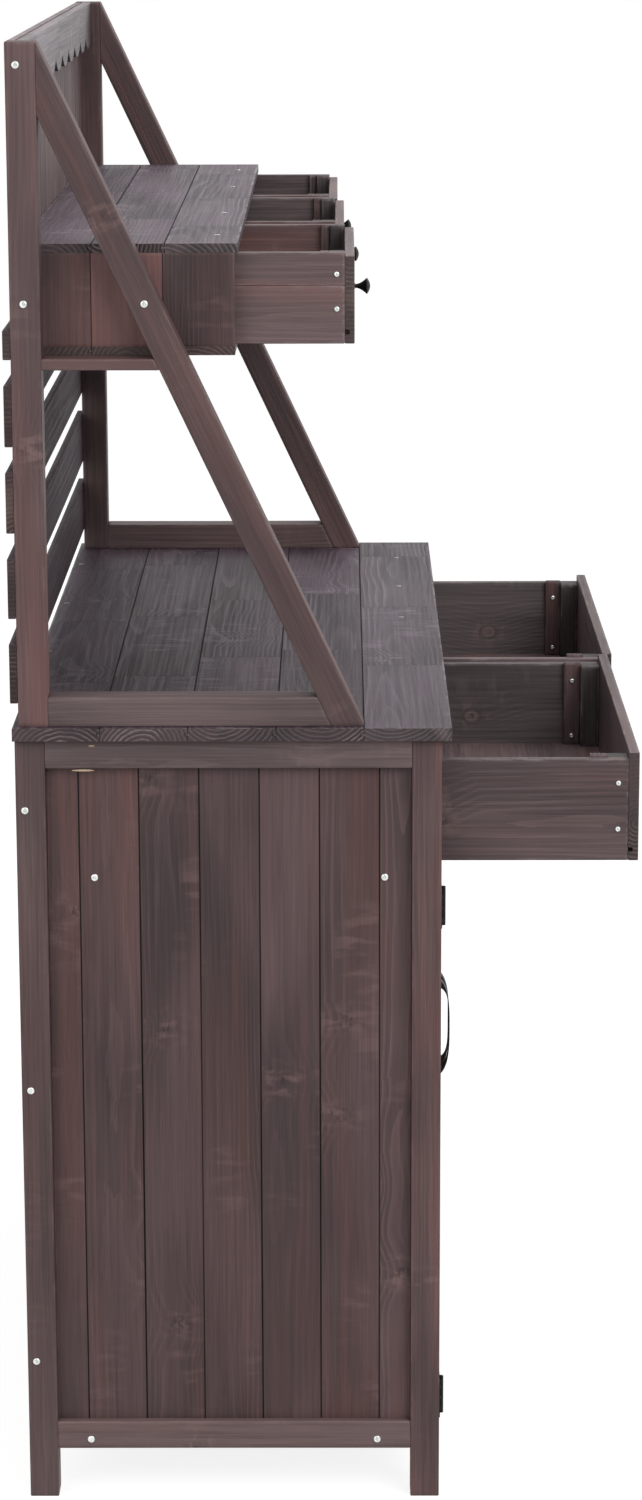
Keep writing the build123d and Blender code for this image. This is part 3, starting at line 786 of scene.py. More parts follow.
class GrainGroup(NodeGroup):
    """The stained softwood pattern: clouds, fibres, growth rings, streaks, knots, smears and joints."""

    NAME = "stained_softwood"
    PLACES = ("Grain", "Tone", "Knot")
    COLORS = ("Dark", "Middle", "Light", "Red")
    AMOUNTS = ("Rings", "Fibre", "Streaks", "Knots", "Smears", "Joints")
    INPUTS = {
        **dict.fromkeys(PLACES, "Vector"),
        **dict.fromkeys(COLORS, "Color"),
        **dict.fromkeys(AMOUNTS, "Float"),
    }
    OUTPUTS = {"Color": "Color", "Height": "Float", "Polish": "Float"}
    FIBRE = Noise((14.0, 900.0, 900.0), 3.0, 0.6)
    STRAND = Noise((3.0, 230.0, 230.0), 3.0, 0.55)
    CLOUD = Noise((2.6, 9.0, 9.0), 3.0, edge=(0.36, 0.66))
    ROUGH = Noise((60.0, 160.0, 160.0), 3.0, 0.6, edge=(0.42, 0.58))
    SIDE_DRIFT = Noise((1.7, 7.0, 7.0))
    DEEP_DRIFT = Noise((2.3, 5.0, 8.0), 1.0)
    THIN_STREAK = Noise((1.3, 42.0, 42.0), 3.0, 0.6, edge=(0.50, 0.74))
    BROAD_STREAK = Noise((2.0, 13.0, 13.0), edge=(0.42, 0.72))
    SMEAR_PATCH = Noise((7.0, 11.0, 11.0), 1.0, edge=(0.58, 0.72))
    SMEAR_STRIPE = Noise((85.0, 20.0, 20.0), edge=(0.46, 0.68))
    BOLD = Noise((1.1, 15.0, 15.0), 1.0, edge=(0.46, 0.68))
    TORN = Noise((90.0, 40.0, 40.0), edge=(0.44, 0.64))
    FLECK = Noise((120.0, 260.0, 260.0), edge=(0.50, 0.60))
    WAVE = {
        "Scale": 62.0,
        "Distortion": 2.2,
        "Detail": 3.0,
        "Detail Scale": 1.4,
        "Detail Roughness": 0.55,
    }
    LATE_WOOD = (0.45, 0.98)
    BOLDNESS = (0.25, 1.0)
    THIN_SHARE = (0.0, 0.55)
    BROAD_SHARE = (0.0, 0.45)
    PUSH_REACH = (0.0, 0.5)
    RING_STRETCH = 0.12
    KNOT_PUSH = 0.016
    SIDE_SHIFT = 0.030
    DEEP_SHIFT = 0.026
    WARMTH = (0.5, 0.35)
    SATURATION = 0.35
    TONE_LIFT = 0.22
    STRAND_HEIGHT = 0.8
    RING_HEIGHT = 0.6
    JOINT_HEIGHT = -1.5
    JOINT_LENGTH = 0.37
    JOINT_TEETH = 90.0
    TOOTH_DEPTH = 0.012
    JOINT_RAGGED = 0.02
    JOINT_LINE = (0.0018, 0.0050)
    JOINT_BREAKS = (0.15, 0.8)
    JOINT_COLOR = (0.012, 0.009, 0.009, 1.0)
    JOINT_TONE = 0.34
    JOINT_MOVE = (23.0, 0.07)
    SEED_STEP = 57.0
    BURL_CELLS = (9.0, 6.0, 1.0)
    KNOT_EDGE = 0.07
    KNOT_STRETCH = 0.8
    FAR_AWAY = 10.0
    LEAST_RADIUS = 1e-5
    PALE = Mark(1.0, 4.0, 0.55)
    SPECK = Mark(0.4, 1.5, 0.6)
    HALO = Mark(1.0, 3.0, 0.4)
    DISC = Mark(0.6, 1.0, 0.5)
    RIM = Mark(1.0, 1.3, 0.7)
    RIM_START = 0.6
    RIM_WORN = (0.6, 0.3)
    DOT = Mark(0.2, 0.6, 0.8)
    HEART = 0.55

    def draw(self, pen: Canvas, given: Given) -> Inputs:
        """Draw the pattern.

        Slow clouds of two stains come first. Rings are a saw of the distance from the pith, bent by slow
        noise, pushed aside near knots, and bold in some places only. Warm streaks, knots and smears
        across the grain are laid over them, and fibres and the board's own tone lift or darken it all.

        Args:
            pen: The group's canvas.
            given: The group's inputs.

        Returns:
            What the outputs show.
        """
        joint_line, joint_tone, wood = self.joints(pen, given)
        bent = pen.vector("ADD", wood, self.drift(pen, wood))
        burl, eye = self.knot_distances(pen, bent, given)
        late = self.rings(pen, bent, pen.math("MINIMUM", burl, eye))
        fibre = pen.noise(wood, self.FIBRE)
        strand = pen.noise(wood, self.STRAND)
        value, red, _ = pen.split(given["Tone"])
        color = pen.blend(pen.mask(bent, self.CLOUD), given["Dark"], given["Middle"])
        color = pen.blend(pen.times(late, given["Rings"]), color, given["Light"])
        warm = pen.math("MULTIPLY_ADD", red, *self.WARMTH, clamp=True)
        warmth = pen.times(self.streaks(pen, bent), pen.times(warm, given["Streaks"]))
        color = pen.blend(warmth, color, given["Red"])
        smeared = pen.times(self.smears(pen, wood), given["Smears"])
        color = pen.blend(smeared, color, given["Light"])
        color = self.knots(pen, color, bent, burl, eye, given)
        vivid = pen.math("MULTIPLY_ADD", red, self.SATURATION, 1.0, clamp=True)
        cool = pen.node("ShaderNodeHueSaturation", {"Saturation": vivid, "Color": color})
        lift = pen.math("MULTIPLY_ADD", value, self.TONE_LIFT, 1.0)
        for threads in (strand, fibre):
            lift = pen.math("MULTIPLY_ADD", pen.math("SUBTRACT", threads, 0.5), given["Fibre"], lift)
        lift = pen.math("ADD", lift, joint_tone)
        color = pen.vector("MULTIPLY", cool.outputs["Color"], pen.combine(lift, lift, lift))
        height = pen.math("MULTIPLY_ADD", strand, self.STRAND_HEIGHT, fibre)
        height = pen.math("MULTIPLY_ADD", late, self.RING_HEIGHT, height)
        height = pen.math("MULTIPLY_ADD", joint_line, self.JOINT_HEIGHT, height)
        color = pen.blend(joint_line, color, self.JOINT_COLOR)
        return {"Color": color, "Height": height, "Polish": strand}

    def joints(self, pen: Canvas, given: Given) -> tuple[Socket, Socket, Socket]:
        """Lay the finger joints, which cut a board at floor(along / length + zigzag(across)).

        Args:
            pen: The group's canvas.
            given: The group's inputs.

        Returns:
            The broken joint line, the tone of each length, and the wood place moved per length.
        """
        along, across, through = pen.split(given["Grain"])
        seed = pen.split(given["Tone"])[2]
        tooth = pen.math("PINGPONG", pen.times(across, self.JOINT_TEETH), 1.0)
        rough = pen.noise(given["Grain"], self.ROUGH)
        tear = pen.times(rough, self.JOINT_RAGGED)
        ragged = pen.math("MULTIPLY_ADD", tooth, self.TOOTH_DEPTH, tear)
        place = pen.math("MULTIPLY_ADD", along, 1 / self.JOINT_LENGTH, pen.math("ADD", seed, ragged))
        cell = pen.math("FLOOR", place)
        part = pen.math("FRACT", place)
        near = pen.math("MINIMUM", part, pen.math("SUBTRACT", 1.0, part))
        torn = pen.ramp(rough, *self.ROUGH.edge, self.JOINT_BREAKS)
        line = pen.times(pen.ramp(near, *self.JOINT_LINE, FALLING), torn)
        number = pen.math("MULTIPLY_ADD", seed, self.SEED_STEP, cell)
        white = pen.node("ShaderNodeTexWhiteNoise", noise_dimensions="1D", inputs={"W": number})
        used = pen.times(pen.math("SUBTRACT", white.outputs["Value"], 0.5), given["Joints"])
        moved = pen.combine(*[pen.times(used, step) for step in self.JOINT_MOVE], 0.0)
        wood = pen.vector("ADD", pen.combine(along, across, through), moved)
        line = pen.times(line, given["Joints"])
        return line, pen.times(used, self.JOINT_TONE), wood

    def drift(self, pen: Canvas, wood: Socket) -> Socket:
        """Return a slow sideways shift of the rings along the board.

        Args:
            pen: The group's canvas.
            wood: The place in the wood.

        Returns:
            The shift.
        """
        side = pen.math("SUBTRACT", pen.noise(wood, self.SIDE_DRIFT), 0.5)
        deep = pen.math("SUBTRACT", pen.noise(wood, self.DEEP_DRIFT), 0.5)
        shifts = (pen.times(side, self.SIDE_SHIFT), pen.times(deep, self.DEEP_SHIFT))
        return pen.combine(0.0, *shifts)

    def streaks(self, pen: Canvas, wood: Socket) -> Socket:
        """Return warm streaks along the grain inside broader warm patches."""
        thin = pen.mask(wood, self.THIN_STREAK, self.THIN_SHARE)
        return pen.math("ADD", thin, pen.mask(wood, self.BROAD_STREAK, self.BROAD_SHARE))

    def smears(self, pen: Canvas, wood: Socket) -> Socket:
        """Return sparse pale marks that lie across the grain, where the stain took badly."""
        return pen.times(pen.mask(wood, self.SMEAR_PATCH), pen.mask(wood, self.SMEAR_STRIPE))

    def knot_distances(self, pen: Canvas, wood: Socket, given: Given) -> tuple[Socket, Socket]:
        """Measure how far a place is from the nearest burl and from the board's own knot.

        Burls sit in the cells of a Voronoi pattern that pass a threshold. The knot lies where the board
        says. Either has its edge at the value KNOT_EDGE.

        Args:
            pen: The group's canvas.
            wood: The place in the wood.
            given: The group's inputs.

        Returns:
            The two distances.
        """
        inputs = {"Vector": pen.vector("MULTIPLY", wood, self.BURL_CELLS), "Scale": 1.0}
        cells = pen.node("ShaderNodeTexVoronoi", inputs, voronoi_dimensions="2D", feature="F1")
        none = pen.math("GREATER_THAN", pen.split(cells.outputs["Color"])[0], given["Knots"])
        burl = pen.math("MULTIPLY_ADD", none, self.FAR_AWAY, cells.outputs["Distance"])
        along, across, _ = pen.split(given["Grain"])
        knot_along, knot_across, radius = pen.split(given["Knot"])
        long = pen.times(pen.math("SUBTRACT", along, knot_along), self.KNOT_STRETCH)
        wide = pen.math("SUBTRACT", across, knot_across)
        away = pen.math("SQRT", pen.math("MULTIPLY_ADD", long, long, pen.times(wide, wide)))
        radius = pen.math("MAXIMUM", radius, self.LEAST_RADIUS)
        return burl, pen.math("DIVIDE", pen.times(away, self.KNOT_EDGE), radius)

    def rings(self, pen: Canvas, wood: Socket, away: Socket) -> Socket:
        """Draw the late-wood lines of the growth rings, bold in some places and faint in others.

        Args:
            pen: The group's canvas.
            wood: The place in the wood.
            away: The distance from the nearest knot or burl, which pushes the rings aside.

        Returns:
            The strength of the lines.
        """
        along, across, through = pen.split(wood)
        pushed = pen.ramp(away, *self.PUSH_REACH, FALLING)
        aside = pen.math("MULTIPLY_ADD", pushed, self.KNOT_PUSH, across)
        place = pen.combine(pen.times(along, self.RING_STRETCH), aside, through)
        kind = {"wave_type": "RINGS", "rings_direction": "X", "wave_profile": "SAW"}
        wave = pen.node("ShaderNodeTexWave", {"Vector": place, **self.WAVE}, **kind)
        bold = pen.mask(wood, self.BOLD, self.BOLDNESS)
        return pen.times(pen.ramp(wave.outputs["Fac"], *self.LATE_WOOD), bold)

    def knots(
        self, pen: Canvas, color: Socket, wood: Socket, burl: Socket, eye: Socket, given: Given
    ) -> Socket:
        """Paint the burls as torn pale patches with dark flecks, and the knot as a rimmed warm eye.

        Args:
            pen: The group's canvas.
            color: The colour of the wood without them.
            wood: The place in the wood.
            burl: The distance from the nearest burl.
            eye: The distance from the board's own knot.
            given: The group's inputs.

        Returns:
            The colour with the knots.
        """
        torn = pen.mask(wood, self.TORN)
        fleck = pen.mask(wood, self.FLECK)
        heart = pen.blend(self.HEART, given["Dark"], BLACK)
        rising = pen.ramp(eye, self.RIM_START * self.KNOT_EDGE, self.KNOT_EDGE)
        rim = pen.times(rising, self.fade(pen, eye, self.RIM))
        worn = pen.math("MULTIPLY_ADD", torn, *self.RIM_WORN)
        layers = (
            (pen.times(self.fade(pen, burl, self.PALE), torn), given["Light"]),
            (pen.times(self.fade(pen, burl, self.SPECK), fleck), heart),
            (pen.times(self.fade(pen, eye, self.HALO), torn), given["Red"]),
            (self.fade(pen, eye, self.DISC), given["Red"]),
            (pen.times(rim, worn), heart),
            (pen.times(self.fade(pen, eye, self.DOT), fleck), heart),
        )
        for strength, over in layers:
            color = pen.blend(strength, color, over)
        return color

    def fade(self, pen: Canvas, distance: Socket, mark: Mark) -> Socket:
        """Return a mark's strength at a distance."""
        edges = (mark.inner * self.KNOT_EDGE, mark.outer * self.KNOT_EDGE)
        return pen.ramp(distance, *edges, (mark.strength, 0.0))


class WearAndPaintedLightGroup(NodeGroup):
    """Worn corners and dark seams, laid over any finish: corners take a pale edge colour, worn wood on most
    finishes and a painted highlight on the worktop's, and seams are darkened with dirt and painted shade.
    """

    NAME = "worn_corners_and_painted_light"
    INPUTS = {"Color": "Color", "Grain": "Vector", "Arris": "Float", "BareAndHighlight": "Color", "Amount": "Float"}
    OUTPUTS = {"Color": "Color", "Seam": "Float"}
    BROKEN = Noise((26.0, 140.0, 140.0), 4.0, 0.65, edge=(0.44, 0.66))
    CORNER = (0.25, 0.95)
    SEAM = (-0.75, -0.05)
    SEAM_SHARE = 0.85
    SEAM_DIRT_AND_SHADE_COLOR = (0.010, 0.007, 0.007, 1.0)

    def draw(self, pen: Canvas, given: Given) -> Inputs:
        """Draw the pale corners and the dark seams.

        The pale edge colour is laid where the arris value times broken noise passes a threshold:
        worn-through wood on most finishes, a painted highlight where a finish gives a whitish edge colour.
        Below zero, the arris value darkens the seam with dirt and painted shade.

        Args:
            pen: The group's canvas.
            given: The group's inputs.

        Returns:
            What the outputs show.
        """
        broken = pen.mask(given["Grain"], self.BROKEN)
        # Pale edge colour on eased corners: worn wood on most finishes, a painted highlight on the worktop
        # and shelf top.
        rubbed_and_lit = pen.times(pen.ramp(given["Arris"], *self.CORNER), broken)
        worn = pen.math("MULTIPLY", rubbed_and_lit, given["Amount"], clamp=True)
        color = pen.blend(worn, given["Color"], given["BareAndHighlight"])
        # Seams go near black: dirt, and painted shade in the gap.
        seam = pen.ramp(given["Arris"], *self.SEAM, FALLING)
        color = pen.blend(pen.times(seam, self.SEAM_SHARE), color, self.SEAM_DIRT_AND_SHADE_COLOR)
        return {"Color": color, "Seam": seam}


class SurfaceGroup(NodeGroup):
    """Fine unevenness of a coated or plated metal surface."""

    NAME = "uneven_coat"
    INPUTS = {"Place": "Vector", "Under": "Color", "Over": "Color"}
    OUTPUTS = {"Color": "Color", "Rough": "Float", "Height": "Float"}
    FINE = Noise((1500.0, 1500.0, 1500.0))
    BROAD = Noise((160.0, 160.0, 160.0), 3.0, edge=(0.35, 0.7))
    BROAD_SHARE = 0.7
    FINE_SHARE = 0.3

    def draw(self, pen: Canvas, given: Given) -> Inputs:
        """Draw two scales of noise that tint the coat, roughen it and dent it.

        Args:
            pen: The group's canvas.
            given: The group's inputs.

        Returns:
            What the outputs show.
        """
        fine = pen.noise(given["Place"], self.FINE)
        broad = pen.noise(given["Place"], self.BROAD)
        color = pen.blend(pen.ramp(broad, *self.BROAD.edge), given["Under"], given["Over"])
        rough = pen.math("MULTIPLY_ADD", broad, self.BROAD_SHARE, pen.times(fine, self.FINE_SHARE))
        return {"Color": color, "Rough": rough, "Height": pen.math("ADD", fine, broad)}


SAWN_AMOUNTS = {"rings": 0.85, "fibre": 0.9, "streaks": 0.2, "knots": 0.0, "smears": 0.6, "joints": 0.0}
SAWN_RELIEF = 1.6


@dataclass(frozen=True)
class WoodFinish:
    """A stain on softwood, for one kind of board."""

    name: str
    slot: Slot
    dark: str
    middle: str
    light: str
    red: str
    # The edge colour and amount below lay worn wood on most finishes; the worktop's finish uses them for a
    # painted highlight.
    bare: str = "#8a7672"
    sawn: tuple[str, str, str] = ("#2f2627", "#443738", "#66554f")
    rings: float = 0.32
    fibre: float = 0.95
    streaks: float = 0.75
    knots: float = 0.2
    smears: float = 0.5
    joints: float = 0.0
    wear_and_highlight: float = 0.22
    polish: Span = (0.25, 0.75)
    roughness: Span = (0.44, 0.64)
    relief: float = 0.35
    relief_depth: float = 0.6 * MM
    seam_roughness: float = 0.25
    shine: float = 0.26

    def look(self, cross: Cross) -> "WoodFinish":
        """Choose how a part of a board looks.

        Args:
            cross: Faces or sawn ends.

        Returns:
            The finish itself, or for sawn ends its darker stains with bold rings and a rougher surface.
        """
        if cross is Cross.LONG_GRAIN:
            return self
        dark, middle, light = self.sawn
        relief = SAWN_RELIEF * self.relief
        return replace(self, dark=dark, middle=middle, light=light, relief=relief, **SAWN_AMOUNTS)

    def material(self, cross: Cross) -> Material:
        """Make the material for faces or for sawn ends.

        Args:
            cross: Which of the two.

        Returns:
            The material.
        """
        made, pen = new_material(f"{self.name}_{cross.value}")
        look = self.look(cross)
        values = {key: pen.attribute(key.lower()) for key in GrainGroup.PLACES}
        values |= {key: stain(getattr(look, key.lower())) for key in GrainGroup.COLORS}
        values |= {key: getattr(look, key.lower()) for key in GrainGroup.AMOUNTS}
        wood = pen.group(GrainGroup.NAME, values)
        # Pale edges are worn wood on most finishes and a painted highlight on the worktop's; negative arris
        # values paint the seams dark with dirt and painted shade.
        wear_and_highlight = {
            "Color": wood.outputs["Color"],
            "Grain": values["Grain"],
            "Arris": pen.attribute("arris", "Fac"),
            "BareAndHighlight": stain(self.bare),
            "Amount": self.wear_and_highlight,
        }
        worn = pen.group(WearAndPaintedLightGroup.NAME, wear_and_highlight)
        rough = pen.ramp(wood.outputs["Polish"], *self.polish, self.roughness)
        inputs = {
            "Base Color": worn.outputs["Color"],
            "Roughness": pen.math("MULTIPLY_ADD", worn.outputs["Seam"], self.seam_roughness, rough),
            "Normal": pen.bump(wood.outputs["Height"], look.relief, self.relief_depth),
            "Specular IOR Level": self.shine,
        }
        pen.show(pen.node("ShaderNodeBsdfPrincipled", inputs).outputs["BSDF"])
        return made

    def materials(self) -> list[Material]:
        """Return the face and end-grain materials, made on first use."""
        known = bpy.data.materials
        return [known.get(f"{self.name}_{cross.value}") or self.material(cross) for cross in Cross]


@dataclass(frozen=True)
class MetalFinish:
    """A coated or plated metal."""

    name: str
    slot: Slot
    under: str
    over: str
    metallic: float
    roughness: Span
    relief: float
    relief_depth: float = 0.1 * MM
    polish: Span = (0.3, 0.7)
    shine: float = 0.5

    def material(self) -> Material:
        """Make the material.

        Returns:
            The material.
        """
        made, pen = new_material(self.name)
        place = pen.node("ShaderNodeTexCoord").outputs["Object"]
        colors = {"Under": stain(self.under), "Over": stain(self.over)}
        coat = pen.group(SurfaceGroup.NAME, {"Place": place, **colors})
        inputs = {
            "Base Color": coat.outputs["Color"],
            "Roughness": pen.ramp(coat.outputs["Rough"], *self.polish, self.roughness),
            "Normal": pen.bump(coat.outputs["Height"], self.relief, self.relief_depth),
            "Metallic": self.metallic,
            "Specular IOR Level": self.shine,
        }
        pen.show(pen.node("ShaderNodeBsdfPrincipled", inputs).outputs["BSDF"])
        return made

    def materials(self) -> list[Material]:
        """Return the one material, made on first use."""
        return [bpy.data.materials.get(self.name) or self.material()]


FRAME_STAIN = WoodFinish(
    "frame_stain", Slot.FRAME, "#493a3b", "#5d4b4b", "#745e5c", "#7d5650", knots=0.15, smears=0.25
)
RAIL_STAIN = replace(FRAME_STAIN, name="rail_stain", rings=0.6, fibre=1.3, streaks=1.0, smears=0.15)
PANEL_STAIN = WoodFinish(
    "panel_stain", Slot.PANEL, "#423536", "#5a4849", "#755d5c", "#7a534d", fibre=0.8, knots=0.42
)
SLAT_STAIN = WoodFinish(
    "slat_stain",
    Slot.PANEL,
    "#33292e",
    "#463a41",
    "#6b5f66",
    "#57434a",
    rings=0.5,
    fibre=1.1,
    knots=0.3,
    roughness=(0.56, 0.80),
    shine=0.2,
)
# Pale sawn ends on the upper back: painted light on its up-facing top ends.
BACK_STAIN_PAINTED_LIGHT_TOPS = replace(PANEL_STAIN, name="back_stain_painted_light_tops", sawn=("#5d5254", "#756a6b", "#8d8283"))
VALANCE_STAIN = WoodFinish(
    "valance_stain",
    Slot.FRAME,
    "#43383f",
    "#5c4e56",
    "#7a6c72",
    "#6b5254",
    rings=0.15,
    fibre=0.55,
    joints=1.0,
    roughness=(0.33, 0.50),
    shine=0.4,
)
# The worktop and shelf top's whitish edge colour and its strong amount paint a highlight along the eased
# edges, where light glints off the rounded arris.
WORKTOP_STAIN_AND_EDGE_HIGHLIGHT = WoodFinish(
    "worktop_stain_and_edge_highlight",
    Slot.WORKTOP,
    "#2f252c",
    "#4a3c46",
    "#7c6f79",
    "#5c454a",
    bare="#b8b0b5",
    sawn=("#211a1d", "#43363a", "#9a8785"),
    rings=0.55,
    fibre=0.90,
    joints=1.0,
    wear_and_highlight=0.4,
    roughness=(0.43, 0.65),
    relief=0.8,
    shine=0.32,
)
DRAWER_STAIN = WoodFinish(
    "drawer_stain",
    Slot.DRAWER,
    "#4a3d3e",
    "#5e4e4f",
    "#76635f",
    "#7c5750",
    bare="#94898c",
    knots=0.12,
    wear_and_highlight=0.36,
)
BARE_WOOD = WoodFinish(
    "bare_wood", Slot.FRAME, "#b59a80", "#cdb79d", "#dccab2", "#bd9c80", fibre=0.25, knots=0.0, wear_and_highlight=0.0
)
BLACK_COAT = MetalFinish(
    "black_coat",
    Slot.BLACK,
    "#0e0e0f",
    "#171719",
    metallic=0.0,
    roughness=(0.36, 0.54),
    relief=0.12,
    shine=0.2,
)
ZINC_PLATE = MetalFinish(
    "zinc_plate", Slot.ZINC, "#c9cdcb", "#e6e9e7", metallic=1.0, roughness=(0.26, 0.44), relief=0.10
)


def install(surface: Surface, name: str, finish: WoodFinish | MetalFinish, body: str, *nodes: str) -> None:
    """Make a dressed piece, fix it to its body, let it stand for CAD nodes, and report it.

    Args:
        surface: The piece's surface.
        name: The piece's name.
        finish: Its finish.
        body: The CAD body it moves with.
        *nodes: The CAD nodes it stands for.
    """
    piece = surface.to_object(name, finish.materials())
    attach(piece, body)
    if nodes:
        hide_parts(*nodes)
    LOG.info("%s rides on %s with %d faces", piece.name, body, len(piece.data.polygons))


class Joiner:
    """Turns lists of boards into installed pieces, drawing each board's wood from one seeded source."""

    def __init__(self, seed: int) -> None:
        """Start the source of wood."""
        self.rng = np.random.default_rng(seed)

    def fit(self, node: str, boards: list[Board], finish: WoodFinish, body: str = BENCH) -> None:
        """Make one piece of boards that stands for one CAD node.

        Args:
            node: The CAD node.
            boards: Its boards.
            finish: Their stain.
            body: The CAD body it moves with.
        """
        surface = Surface.joined([board_surface(board, self.rng) for board in boards])
        install(surface, f"{node}_grained", finish, body, node)


@dataclass
class Cabinet:
    """Legs, ends, back, floor and drawer carriers below the worktop."""

    rail_height: float = 0.034
    rail_thickness: float = 0.0115
    board: float = 0.010
    cover: float = 0.069
    end_part: float = 0.025
    batten_height: float = 0.034
    back_count: int = 16
    floor_count: int = 5
    cleat: float = 0.020
    lumber: float = 0.034
    top_rail: float = 0.023
    seat: float = 0.774
    front_rail: float = 0.023
    runner: float = 0.034
    middle_runner: float = 0.060
    runner_thickness: float = 0.020
    guide: float = 0.012
    leg_tones: tuple[tuple[str, Tone], ...] = (
        ("leg_front_left", (0.1, 2.1)),
        ("leg_back_left", (0.15, -0.2)),
        ("leg_front_right", (0.0, 0.4)),
        ("leg_back_right", (0.0, 0.0)),
    )
    end_tones: Tones = (
        (1.4, 0.7),
        (-0.3, 0.5),
        (0.2, 0.0),
        (-0.75, 0.3),
        (-0.5, 0.0),
        (-0.7, 0.5),
        (-0.3, 0.9),
    )
    rail_tones: Tones = ((1.8, -0.6), (1.85, -0.3), (0.2, 0.0), (0.2, 0.2))

    def build(self, joiner: Joiner) -> None:
        """Build every piece of the cabinet.

        Args:
            joiner: Makes the pieces of boards.
        """
        for node, tone in self.leg_tones:
            joiner.fit(node, [bar(*spans(node), Run.HEIGHT, tone=tone)], FRAME_STAIN)
        joiner.fit("side_rails", self.side_rails(), RAIL_STAIN)
        ends = MATCHING.ends("side_boards", self.end_edges(), self.board, self.end_tones)
        joiner.fit("side_boards", ends, PANEL_STAIN)
        joiner.fit("back_battens", three_levels("back_battens", self.batten_height), FRAME_STAIN)
        joiner.fit("back_boards", self.back_boards(), PANEL_STAIN)
        joiner.fit("floor_boards", MATCHING.level("floor_boards", self.floor_count), PANEL_STAIN)
        joiner.fit("floor_cleats", ends_and_middle("floor_cleats", self.cleat), FRAME_STAIN)
        joiner.fit("cross_rails", self.cross_rails(), FRAME_STAIN)
        joiner.fit("drawer_runners", self.drawer_runners(), FRAME_STAIN)

    def side_rails(self) -> list[Board]:
        """Return the top and bottom rail of each end.

        Returns:
            The left end's rails, then the right end's.
        """
        x, y, z = spans("side_rails")
        outer = from_low(x, self.rail_thickness)
        heights = (from_high(z, self.rail_height), from_low(z, self.rail_height))
        places = [(end, height) for end in (outer, mirrored(outer)) for height in heights]
        rails = zip(places, self.rail_tones)
        return [bar(end, y, height, Run.DEPTH, tone=tone) for (end, height), tone in rails]

    def end_edges(self) -> Floats:
        """Return the seams of an end: whole boards in the middle and a part board at each side.

        Returns:
            The seams and the free edges, from the front.
        """
        depth = spans("side_boards")[1]
        whole = int((size(depth) - 2 * self.end_part) // self.cover)
        first = (sum(depth) - whole * self.cover) / 2
        return np.concatenate([depth[:1], first + self.cover * np.arange(whole + 1), depth[1:]])

    def back_boards(self) -> list[Board]:
        """Return the upright boards of the back, faced to the rear.

        Returns:
            The boards.
        """
        x, y, z = spans("back_boards")
        place = Placement((0.0, y[1], z[1]), RIGHT, DOWN)
        return MATCHING.row(even(*x, self.back_count), self.board, size(z), place)

    def cross_rails(self) -> list[Board]:
        """Return the front rails and the rail behind the drawers.

        Returns:
            The rails, the front ones first.
        """
        x, y, z = spans("cross_rails")
        between = spans("back_battens")[0]
        behind_doors = (y[0] + self.lumber - self.front_rail, y[0] + self.lumber)
        seat = (self.seat - self.rail_height, self.seat)
        return [
            bar(between, from_low(y, self.lumber), from_high(z, self.top_rail), Run.WIDTH),
            bar(between, behind_doors, seat, Run.WIDTH),
            bar(between, behind_doors, from_low(z, self.rail_height), Run.WIDTH),
            bar(x, from_high(y, self.front_rail), seat, Run.WIDTH),
        ]

    def drawer_runners(self) -> list[Board]:
        """Return the runners and the guide between the large drawers.

        Returns:
            The runners, then the guide.
        """
        x, y, z = spans("drawer_runners")
        flat = from_low(z, self.runner_thickness)
        end = from_low(x, self.runner)
        places = (end, mirrored(end), centred(self.middle_runner))
        runners = [bar(place, y, flat, Run.DEPTH, bow=SLIDING_BOW) for place in places]
        return [*runners, bar(centred(self.guide), y, (flat[1], z[1]), Run.DEPTH)]


@dataclass
class Worktop:
    """The boarded top and the battens below it."""

    board_count: int = 5
    batten: float = 0.034
    tones: Tones = ((0.1, -0.5), (-0.4, 0.2), (0.2, 0.3), (-0.1, 0.4), (0.1, 0.0))

    def build(self, joiner: Joiner) -> None:
        """Build the boards and battens.

        Args:
            joiner: Makes the pieces of boards.
        """
        boards = MATCHING.level("worktop_boards", self.board_count, self.tones)
        joiner.fit("worktop_boards", boards, WORKTOP_STAIN_AND_EDGE_HIGHLIGHT)
        joiner.fit("worktop_battens", ends_and_middle("worktop_battens", self.batten), FRAME_STAIN)


